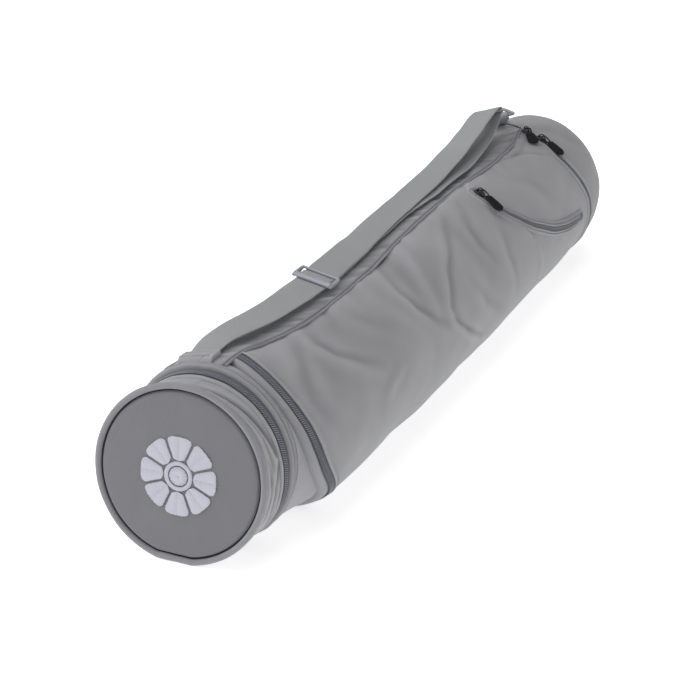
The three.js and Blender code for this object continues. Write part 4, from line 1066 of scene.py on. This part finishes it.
def spine():
    """Spine panel, and the flat folded seam that stands up along either side of it."""
    begin, end = WELT_AT + 8.4, MAIN_COIL_HALF + 2.4
    share, across = np.meshgrid(np.linspace(0, 1, 281), np.linspace(0, 1, 29), indexing="ij")
    x, angle = panel_grid((base_zip, begin), (main_zip, end), share, across,
                          (SPINE_WIDTH - 1.6, 1.6), 0)
    side = (1 - across) * SPINE_WIDTH
    relief = rumple(x - side * 0.8, side, 26, 60, 92) - 0.8
    # Slanting puckers run in from either seam
    for seed, seam, way in ((91, side, 0.9), (94, SPINE_WIDTH - side, -0.9)):
        pucker = rumple(x + seam * way, seam, 7, 60, seed)
        pucker = pucker + 0.7 * rumple(x + seam * way * 1.3, seam, 3.6, 40, seed + 5)
        relief = relief + pucker * np.exp(-seam / 16)
    relief = relief - np.exp(-(np.minimum(side, SPINE_WIDTH - side) / 1.8) ** 2)
    relief = relief * np.clip(share * 60, 0, 1)
    # The panel's end is turned down under the end's hem
    relief = relief - 1.2 * np.clip((share - 0.9955) / 0.004, 0, 1)
    piece = cloth("spine_panel_cloth", on_tube(x, angle, relief), np.stack([x, side], -1),
                  shade=local_shade(relief, 2, 0.42))
    settle(piece, bag_canvas, replaces=["spine_panel"])
    # mm across the folded seam and its rise: two ridges with a stitched dip between them
    profile = np.array([(-2.7, -1.6), (-2.8, -0.1), (-2.3, 0.9), (-1.6, 1.15), (-0.9, 0.7),
                        (-0.1, -0.4), (0.7, 0.5), (1.4, 0.95), (2.1, 0.7), (2.6, -0.1),
                        (2.5, -1.6), (-2.7, -1.6)])
    share = np.linspace(0, 1, 331)
    for name, edge, seed in (("right", 0.0, 95), ("left", SPINE_WIDTH, 97)):
        x, angle = panel_grid((base_zip, begin + 0.4), (main_zip, end - 3.0), share, share,
                              (edge, edge), 0)
        wander = 0.5 * rumple(x, 0, 26, 1, seed) + 0.2 * rumple(x, 0, 9, 1, seed)
        swell = 1 + 0.22 * rumple(x, 0, 12, 1, seed + 1)[:, None]
        turn = spine_angle(x[:, None], edge - profile[:, 0] - wander[:, None])
        rise = profile[:, 1] * np.where(profile[:, 1] > 0, swell, 1)
        piece = swept(f"spine_seam_{name}", on_tube(x[:, None], turn, rise), degrees=60)
        settle(piece, piping_canvas, replaces=[f"spine_cord_{name}"])
        stitches(f"spine_seam_{name}_stitches", on_tube(x, angle, 0.45), on_tube(x, angle, 1.45))


def on_panel(x, angle, rise):
    share = (x - expansion_zip(angle)) / (main_zip(angle) - expansion_zip(angle))
    return on_tube(x, angle, rise - broad_folds(x, angle) * edge_calm(share))


def beside_pocket_line(share, aside, rise):
    """A place beside the pocket's zip: aside in mm, positive towards the floor."""
    x, angle = pocket_at(share)
    before, after = pocket_at(np.maximum(0, share - 0.02)), pocket_at(np.minimum(1, share + 0.02))
    run = unit(np.stack([after[0] - before[0], round_mm(after[1] - before[1])], -1))
    turn = angle + np.degrees(aside * run[..., 0] / BASE_RADIUS)
    return on_panel(x - aside * run[..., 1], turn, rise)


def pocket():
    """Pocket zip between two rolled lips of cloth."""
    share = np.linspace(0, 1, 161)
    points = beside_pocket_line(share, np.linspace(-4.0, 4.0, 7)[:, None], 1.9)
    tape = cloth("pocket_zip_tape", points, cut_of(points), TAPE_WALL)
    settle(tape, zip_tape, replaces=["pocket_zip"])
    frames = frames_on(*(beside_pocket_line(share, 0.0, rise) for rise in (2.4, 3.4)), 1.9)
    for row, way in (("upper", -1), ("lower", 1)):
        seed = bead(1.1, 2.2, 1.3)
        coil = repeated(f"pocket_zip_coil_{row}", seed, frames, COIL_LEAN * way, (0, way, 0))
        settle(coil, zip_coil)
    for name, way, tall in (("upper", -1, 3.6), ("lower", 1, 3.2)):
        # mm beside the zip and rise of the rolled lip
        profile = np.array([
            (2.6, 0.2), (2.4, 1.6), (2.5, tall - 0.5), (3.1, tall), (3.9, tall - 0.3),
            (4.4, tall - 1.4), (4.8, tall - 1.6), (5.4, tall - 1.0), (6.2, tall - 1.6),
            (7.2, 0.3), (8.0, -0.5), (2.6, -0.5), (2.6, 0.2)])
        fade = np.minimum(1, 9 * (1 - share) + 0.25)[:, None]
        lump = 0.2 * rumple(share * 190, 0, 11, 1, 101 + way)[:, None]
        rise = np.where(profile[:, 1] > 0.5, profile[:, 1] * fade + lump, profile[:, 1])
        rings = beside_pocket_line(share[:, None], way * profile[:, 0], rise)
        settle(swept(f"pocket_zip_lip_{name}", rings, degrees=60), bag_canvas)
        rows = (beside_pocket_line(share, way * 5.5, tall + up) for up in (-0.8, 0.2))
        stitches(f"pocket_zip_{name}_stitches", *rows)


def pocket_start():
    """Bunched cloth that closes the pocket's zip behind its slider."""
    half, end = 8.5, 0.062
    share, aside = np.meshgrid(np.linspace(0, end, 41), np.linspace(-half, half, 41),
                               indexing="ij")
    away = np.maximum(np.abs(aside) / half, np.abs(2 * share / end - 1))
    held = np.clip((1 - away) / 0.35, 0, 1)
    run = share * 300
    relief = 1.5 * rumple(run + aside * 0.7, aside, 4.2, 7.0, 131)
    relief = relief + 0.8 * rumple(run, aside, 2.6, 4, 132)
    rise = -0.6 + held * (4.6 + relief)
    points = beside_pocket_line(share, aside, rise)
    # The bunched cloth's painted shade is set a little lighter all over
    piece = cloth("pocket_zip_start", points, cut_of(points), 0.8,
                  shade=local_shade(rise, 2, 0.35) + 0.1)
    settle(piece, bag_canvas)


# The strap

def catmull(points, steps):
    """Even steps between points on a centripetal curve through them."""
    points = np.asarray(points, float)
    ends = np.concatenate([[2 * points[0] - points[1]], points, [2 * points[-1] - points[-2]]])
    out, owner = [], []
    for n in range(len(points) - 1):
        p0, p1, p2, p3 = ends[n:n + 4]
        d0, d1, d2 = (max(np.linalg.norm(b - a), 1e-4) ** 0.5
                      for a, b in ((p0, p1), (p1, p2), (p2, p3)))
        m1 = ((p1 - p0) / d0 - (p2 - p0) / (d0 + d1) + (p2 - p1) / d1) * d1
        m2 = ((p2 - p1) / d1 - (p3 - p1) / (d1 + d2) + (p3 - p2) / d2) * d1
        count = max(2, math.ceil(np.linalg.norm(p2 - p1) / steps))
        for i in range(count):
            t = i / count
            out.append(p1 + m1 * t + (-3 * p1 + 3 * p2 - 2 * m1 - m2) * t**2
                       + (2 * p1 - 2 * p2 + m1 + m2) * t**3)
            owner.append(n + t)
    out.append(points[-1])
    owner.append(len(points) - 1)
    return np.array(out), np.array(owner)


def over_spine(along, lift, shift=0.0):
    x = along * TUBE_LENGTH
    p = on_tube(x, strap_angle(x, -shift * BASE_RADIUS), 0)
    p[2] += lift * BASE_RADIUS
    return p


def across_at(roll):
    roll = np.radians(roll)
    return np.stack([roll * 0, -np.cos(roll), -np.sin(roll)], -1)


def basis(x_axis, y_axis, origin):
    """A frame in mm from two axes at right angles."""
    return np.stack([x_axis, y_axis, np.cross(x_axis, y_axis), origin], 0)


def out_of(local, points):
    """Points in a frame's own mm, as they lie on the bag."""
    return np.asarray(points, float) @ local[:3] + local[3]


BUCKLE_FRAME = basis(np.array([1.0, 0, 0]), -across_at(BUCKLE[2]), over_spine(*BUCKLE[:2]))
ring_across = across_at(RING[2])
ring_back = np.array([math.cos(math.radians(RING_DIP)), 0, -math.sin(math.radians(RING_DIP))])
RING_FRAME = basis(square_to(ring_across, ring_back), -ring_across, over_spine(*RING[:2]))

# Where the patch over the strap's sewn end begins, and the strap's lift off the cloth there
PATCH_START = float(base_zip(0.0)) + TAPE_HALF + WELT_WIDTH + 4 * SEWN_GAP
STRAP_LIFT = WEBBING_THICKNESS / 2 + SEWN_GAP + WEBBING_WIDTH**2 / (16 * BASE_RADIUS)


def webbing(name, route, width, node, wave=0.0):
    """Flat webbing with rounded edges through a route of points and rolls. wave is how many mm
    it strays and curls."""
    middle, owner = catmull([p for p, _ in route], 2.5)
    across = across_at(np.interp(owner, range(len(route)), [r for _, r in route]))
    up = unit(np.cross(across, unit(np.gradient(middle, axis=0))))
    run = run_along(middle)
    half, thick = width / 2, WEBBING_THICKNESS / 2
    # mm across and up, with rounded selvedges
    edge = np.radians(np.linspace(90, -90, 7))
    right = np.stack([half - thick + thick * np.cos(edge), thick * np.sin(edge)], -1)
    flat = np.linspace(half - thick, -half + thick, 11)[1:-1]
    under = np.stack([flat, np.full_like(flat, -thick)], -1)
    section = np.concatenate([right, under, -right, -under, right[:1]])
    out, side = section[:, 0], section[:, 0] / half
    straying, curling, fraying, tilting = (
        wave * rumple(run, 0, size, 1, seed)[:, None]
        for size, seed in ((55, 111), (90, 112), (19, 113), (27, 114)))
    sway = straying + 0.5 * fraying * np.sign(out)
    cup = 0.8 * curling * (side**2 - 0.4) + 0.7 * tilting * side * np.abs(side)
    rings = (middle[:, None] + across[:, None] * (out + sway)[..., None]
             + up[:, None] * (section[:, 1] + cup)[..., None])
    cut = np.stack(np.broadcast_arrays(run[:, None], out + section[:, 1] * 0.5), -1)
    piece = swept(name, rings, False, 60, cut)
    settle(piece, strap_webbing, replaces=[node])


def strap():
    # Under the buckle's front bar, over its low middle bar, and under its rear bar
    under = -0.25 - WEBBING_THICKNESS / 2
    over = -under - 0.1
    weave = ((BUCKLE_FRONT_AT - 2, under), (BUCKLE_FRONT_AT + 1.6, under),
             (BUCKLE_MIDDLE_AT - 0.9, over), (BUCKLE_MIDDLE_AT + 0.9, over),
             (BUCKLE_REAR_AT - 0.8, under), (BUCKLE_REAR_AT + 1.8, under))
    route = []
    for share, lift in ((0.45, STRAP_LIFT * 0.8), (1.05, STRAP_LIFT)):
        x = PATCH_START + share * PATCH_LENGTH
        turn = float(strap_angle(x, 0.0))
        route.append((on_tube(x, turn, lift), turn))
    route += [(over_spine(a, b), c) for a, b, c in STRAP_RISE]
    route += [(out_of(BUCKLE_FRAME, (x, 0, z)), BUCKLE[2]) for x, z in weave]
    route += [(over_spine(a, b), c) for a, b, c in STRAP_REACH]
    route += round_ring(0, (RING_WIRE + WEBBING_THICKNESS) / 2 + 0.5, (90, 45, 0, -45, -90))
    route += [(over_spine(a, b, *shift), c) for a, b, c, *shift in STRAP_RETURN]
    webbing("strap_webbing", route, WEBBING_WIDTH, "strap", 0.9)


def round_ring(bar, radius, turns):
    """Steps of webbing round a bar of the ring, which is bar mm behind its front one."""
    return [(out_of(RING_FRAME, (bar + radius * math.cos(turn), 0, radius * math.sin(turn))),
             RING[2]) for turn in np.radians(turns)]


def ring_tab():
    rear_bar = RING_HEIGHT - RING_WIRE
    foot = out_of(RING_FRAME, (rear_bar, 0, 0))

    def feet(raised):
        return [(over_spine((foot[0] + ahead) / TUBE_LENGTH, (lift + raised) / BASE_RADIUS),
                 RING[2]) for ahead, lift in ((30, 2.2), (20, 3.0), (11, 6.0))]

    radius = RING_WIRE / 2 + 1.0 + WEBBING_THICKNESS / 2
    route = feet(0.0) + round_ring(rear_bar, radius, (-90, -135, 180, 135, 90))
    route += feet(WEBBING_THICKNESS + 0.4)[::-1]
    webbing("ring_tab_webbing", route, 24.0, "ring_tab")


def strap_patch():
    """Folded patch sewn down over the strap's end, with two rows of stitches across it."""
    flat, hemmed = WEBBING_WIDTH / 2 + 0.4, WEBBING_WIDTH / 2 + 1.8
    crown = STRAP_LIFT + WEBBING_THICKNESS / 2
    share, side = np.meshgrid(np.linspace(0, 1, 33), np.linspace(-hemmed, hemmed, 81),
                              indexing="ij")
    x = PATCH_START - 2.4 + (PATCH_LENGTH + 2.4) * share
    fall = np.clip((np.abs(side) - flat) / (hemmed - flat), 0, 1)
    height = mix(crown + side**2 / DISC_DIAMETER + 0.35, -0.9, fall**2)
    height = mix(height, -1.2, np.clip(1 - share / 0.38, 0, 1) ** 1.6)
    height = height + 0.3 * rumple(x, side, 9, 8, 121) * (1 - fall)
    # A fold runs slanting over the patch from the strap's edge
    fold = np.exp(-((side + 4 + 14 * share) / 1.6) ** 2) * np.sin(np.pi * share)
    height = height - 1.1 * fold * (1 - fall)
    points = on_tube(x, strap_angle(x, side), height + 0.75)
    piece = cloth("strap_patch_cloth", points, np.stack([x, side], -1), 0.7,
                  shade=local_shade(height, 3, 0.3))
    settle(piece, bag_canvas, replaces=["strap_patch"])
    across = np.linspace(-flat + 2, flat - 2, 41)
    for name, at in (("front", PATCH_START + 3.0), ("back", PATCH_START + PATCH_LENGTH - 3.0)):
        rows = (on_tube(at, strap_angle(at, across), crown + up + across**2 / DISC_DIAMETER)
                for up in (1.05, 2.05))
        stitches(f"strap_patch_stitches_{name}", *rows)


# Buckle, ring, sliders and pullers

def loop_rings(path, section, up):
    """Rings of a section, in mm outwards and up, round a closed flat path."""
    ahead = unit(np.roll(path, -1, 0) - np.roll(path, 1, 0))
    out = np.cross(ahead, up)
    rings = (path[:, None, :] + out[:, None, :] * section[None, :, :1] + up * section[None, :, 1:])
    return np.concatenate([rings, rings[:1]])


def rounded_path(length, width, corner):
    """A closed path round a rectangle with round corners, in a flat plane."""
    x, y = length / 2 - corner, width / 2 - corner
    centres = np.repeat([(x, y), (-x, y), (-x, -y), (x, -y)], 6, axis=0)
    turns = np.radians(np.add.outer(np.arange(0, 360, 90), np.linspace(0, 90, 6)).ravel())
    return np.stack([centres[:, 0] + corner * np.cos(turns),
                     centres[:, 1] + corner * np.sin(turns), turns * 0], -1)


def oval(half_a, half_b, power=2.6, count=16):
    """A section between an oval and a rectangle: the higher the power, the squarer."""
    turn = np.linspace(0, 2 * np.pi, count + 1)
    c, s = np.cos(turn), np.sin(turn)
    return np.stack([np.sign(c) * half_a * np.abs(c) ** (2 / power),
                     np.sign(s) * half_b * np.abs(s) ** (2 / power)], -1)


def bar_rings(half_length, x, z, half_x, half_z):
    """Rings of a bar along Y, in a fitting's own frame."""
    section = oval(half_x, half_z)
    y = np.linspace(-half_length, half_length, 25)[:, None]
    return np.stack(np.broadcast_arrays(x + section[:, 0], y, z + section[:, 1]), -1)


def joined(name, parts, material, node):
    """Makes the parts one piece, in the node's place."""
    deselect()
    for part in parts:
        part.select_set(True)
    bpy.context.view_layer.objects.active = parts[0]
    bpy.ops.object.join()
    piece = bpy.context.object
    piece.name = piece.data.name = name
    settle(piece, material, replaces=[node])


def strap_buckle():
    """Adjusting buckle: side rails, a broad front bar, a low middle bar and a rear bar."""
    half_width = (BUCKLE_WIDTH - BUCKLE_RAIL) / 2
    parts = []
    for x, z, half_x, half_z in ((BUCKLE_FRONT_AT, 1.7, BUCKLE_FRONT_BAR / 2 + 1.1, 1.9),
                                 (BUCKLE_MIDDLE_AT, -1.2, BUCKLE_BAR / 2, 1.1),
                                 (BUCKLE_REAR_AT, 1.1, BUCKLE_BAR / 2, 1.15)):
        rings = bar_rings(half_width, x, z, half_x, half_z)
        parts.append(swept("bar", out_of(BUCKLE_FRAME, rings)))
    t = np.linspace(-1, 1, 25)[:, None]
    section = oval(BUCKLE_RAIL / 2 + 0.25, 1.0)
    swell = (1 - np.abs(t) ** 6) ** 0.5
    tall = (1.6 + 0.9 * (1 - t**2)) * (0.3 + 0.7 * swell)
    for side in (-1, 1):
        y = side * half_width + section[:, 0] * (0.25 + 0.75 * swell)
        z = section[:, 1] * tall + 0.45 * t**2
        rings = np.stack(np.broadcast_arrays(t * BUCKLE_LENGTH / 2, y, z), -1)
        parts.append(swept("rail", out_of(BUCKLE_FRAME, rings)))
    joined("strap_buckle_moulding", parts, moulded_nylon, "strap_buckle")


def strap_ring():
    length, width = RING_HEIGHT - RING_WIRE, RING_WIDTH - RING_WIRE
    section = oval(RING_WIRE / 2, RING_WIRE / 2, 2.2)
    rings = loop_rings(rounded_path(length, width, 2.6), section, np.array([0, 0, 1.0]))
    rings[..., 0] += length / 2
    piece = swept("strap_ring_moulding", out_of(RING_FRAME, rings), True)
    settle(piece, moulded_nylon, replaces=["strap_ring"])


def slider_frame(point, at, step, seat):
    """The frame of a slider on its zip, from the zip's points and its plate's height above."""
    rise = seat + 2.4
    middle = point(at, rise)
    ahead = unit(point(at + step, rise) - point(at - step, rise))
    up = square_to(ahead, point(at, rise + 5) - middle)
    return basis(ahead, np.cross(up, ahead), middle)


def puller_frame(slider, turn, droop):
    """The frame of a puller that hangs in a slider's bridge, turned and drooping in degrees."""
    c, s = math.cos(math.radians(turn)), math.sin(math.radians(turn))
    level, down = math.cos(math.radians(droop)), math.sin(math.radians(droop))
    ahead, left = np.array([(c * level, s * level, -down), (-s, c, 0)]) @ slider[:3]
    return basis(ahead, left, out_of(slider, (0.525, 0, 2.2)))


def slider_body(name, local):
    """Slider: a wedge-nosed plate with side flanges, and a bridge over it for the puller."""
    # mm along, half width and thickness of the plate
    t = np.linspace(0, 1, 17)
    along = mix(-5.5, 5.5, t)[:, None]
    half = 4.3 * np.interp(t, [0, 0.12, 0.3, 0.75, 0.92, 1], [0.66, 0.94, 1, 0.98, 0.72, 0.34])
    thick = 1.2 * np.interp(t, [0, 0.08, 0.9, 1], [0.75, 1, 1, 0.6])
    section = oval(1, 1, 4.5, 20)
    rings = np.stack(np.broadcast_arrays(along, section[:, 0] * half[:, None],
                                         -1.2 + section[:, 1] * thick[:, None]), -1)
    parts = [swept("plate", out_of(local, rings), degrees=40)]
    # The bridge rises from the plate's tail and comes down at its nose
    reach, sunk = 3.55, -0.8
    turn = np.radians(np.linspace(0, 180, 17))
    path = np.stack([-reach * np.cos(turn), turn * 0, 3.95 * np.sin(turn) ** 0.55], -1)
    path = np.concatenate([[(-reach, 0, sunk)], path, [(reach, 0, sunk)]])
    side = np.array([0, 1.0, 0])
    out = np.cross(unit(np.gradient(path, axis=0)), side)
    section = oval(0.5, 1.0, 3.2, 12)
    rings = path[:, None] + out[:, None] * section[:, :1] + side * section[:, 1:]
    parts.append(swept("bridge", out_of(local, rings)))
    joined(name + "_slider_casting", parts, black_lacquer, name + "_slider")


def puller_link(name, local):
    length, width, wire = 10.6, 9.0, 1.6
    path = rounded_path(length - wire, width - wire, 1.6)
    path[:, 1] *= np.interp(path[:, 0], [-4.5, 4.5], [1.0, 0.82])
    rings = loop_rings(path, oval(wire / 2, 0.72, 2.6, 12), np.array([0, 0, 1.0]))
    rings[..., 0] += length / 2 - 0.75
    piece = swept(name + "_link_casting", out_of(local, rings), True)
    settle(piece, black_lacquer, name, [name + "_link"])


def puller_grip(name, local, length):
    """Moulded oval grip: a raised rim round a ribbed hollow."""
    t = np.linspace(0, 1, 61)[:, None]
    x = mix(10.15, length, t)
    round_end = np.sqrt(1 - np.clip((x - length + 6) / 6, 0, 1) ** 2)
    half = np.interp(t, [0, 0.1, 0.35, 0.7], [4.4, 4.9, 5.5, 6.0]) * np.maximum(round_end, 0.03)
    rise = 1.2 * np.maximum(round_end, 0.05) ** 0.3 * np.interp(t, [0, 0.05], [0.7, 1])
    section = oval(1, 1, 3.4, 32)
    across = section[:, 0] * half
    hollow = np.clip(1.5 - np.abs(across) / np.maximum(half - 1.1, 0.1) * 1.5, 0, 1)
    hollow = hollow * np.clip((t - 0.22) * 12, 0, 1) * np.clip((0.9 - t) * 12, 0, 1)
    ribs = 0.5 + 0.5 * np.sin(2 * np.pi * x / 1.8)
    face = np.sign(section[:, 1]) * (np.abs(section[:, 1]) > 0.5)
    up = section[:, 1] * rise - face * hollow * (0.42 - 0.22 * ribs)
    rings = np.stack(np.broadcast_arrays(x, across, up), -1)
    piece = swept(name + "_grip_moulding", out_of(local, rings))
    settle(piece, black_rubber, name, [name + "_grip"])


def zip_pull(name, point, at, step, seat, length, turn, droop):
    """A slider with its puller: where it is on its zip, and how the puller lies."""
    slider = slider_frame(point, at, step, seat)
    slider_body(name, slider)
    local = puller_frame(slider, turn, droop)
    puller_link(name + "_puller", local)
    puller_grip(name + "_puller", local, length)


def main_zip_point(angle, rise):
    return on_tube(float(main_zip(angle)), angle, rise)


def pocket_zip_point(share, rise):
    x, angle = pocket_at(share)
    return on_panel(x, angle, rise)


# Putting the bag together

base_disc()
base_piping()
rosette()
base_band()
zip_chain("base_zip", base_zip, AROUND, 0.0)
base_welt()
gusset()
expansion()
main_panel()
zip_chain("main_zip", main_zip, panel_angles(main_zip, 321), 0.4, closed=False, half=2.0)
end_cap()
spine()
pocket()
pocket_start()
strap()
ring_tab()
strap_patch()
strap_buckle()
strap_ring()
zip_pull("main_first", main_zip_point, 4.0, 1, 0.8, 30.0, -24, 8)
zip_pull("main_second", main_zip_point, 18.0, 1, 0.8, 30.0, 4, 12)
zip_pull("pocket", pocket_zip_point, 0.09, 0.02, POCKET_RISE + 0.4, 31.0, 0, 9)

# Floor, light and camera

deselect()
bpy.ops.mesh.primitive_plane_add(size=14)
floor = bpy.context.object
floor.name = "floor"
# Translucent white acrylic, lit from below so that it stays white beside the bag
paper, paper_tree, paper_bsdf = start("lit_white_acrylic", **{
    "Roughness": 0.95, "Specular IOR Level": 0.1, "Emission Color": (1, 1, 1, 1),
    "Emission Strength": 0.6,
})
grain = add(paper_tree, "ShaderNodeTexNoise", {
    "Vector": add(paper_tree, "ShaderNodeTexCoord").outputs["Object"], "Scale": 400.0})
paper_tone = add(paper_tree, "ShaderNodeMix", {"Factor": grain.outputs["Fac"]}, data_type="RGBA")
paper_tone.inputs[6].default_value = colour("#f4f4f4")
paper_tone.inputs[7].default_value = colour("#f9f9f9")
paper_tree.links.new(paper_tone.outputs[2], paper_bsdf.inputs["Base Color"])
floor.data.materials.append(paper)

scene = bpy.context.scene
scene.view_settings.view_transform = "Standard"
world = bpy.data.worlds.new("studio")
world.use_nodes = True
world.node_tree.nodes["Background"].inputs["Color"].default_value = (1, 1, 1, 1)
world.node_tree.nodes["Background"].inputs["Strength"].default_value = 0.30
scene.world = world


def softbox(name, place, size, energy):
    deselect()
    bpy.ops.object.light_add(type="AREA", location=place)
    light = bpy.context.object
    light.name = name
    light.data.shape = "SQUARE"
    light.data.size = size
    light.data.energy = energy
    light.rotation_mode = "QUATERNION"
    light.rotation_quaternion = (-Vector(place)).to_track_quat("-Z", "Y")


softbox("overhead_softbox", (0.0, 0.2, 2.8), 2.2, 25)
softbox("window_side_softbox", (-1.2, 2.4, 2.0), 2.2, 58)
softbox("front_softbox", (-2.6, 0.4, 2.0), 2.2, 6)
softbox("near_side_softbox", (-0.6, -2.6, 1.5), 2.2, 12)

camera_data = bpy.data.cameras.new("camera")
camera_data.lens = CAMERA_LENS
camera_data.sensor_width = 36
camera = bpy.data.objects.new("camera", camera_data)
scene.collection.objects.link(camera)
camera.location = metres(CAMERA_PLACE)
camera.rotation_mode = "QUATERNION"
yaw, pitch = math.radians(CAMERA_YAW), math.radians(CAMERA_PITCH)
looking = Vector((math.cos(pitch) * math.cos(yaw), math.cos(pitch) * math.sin(yaw),
                  -math.sin(pitch)))
camera.rotation_quaternion = looking.to_track_quat("-Z", "Y")
scene.camera = camera
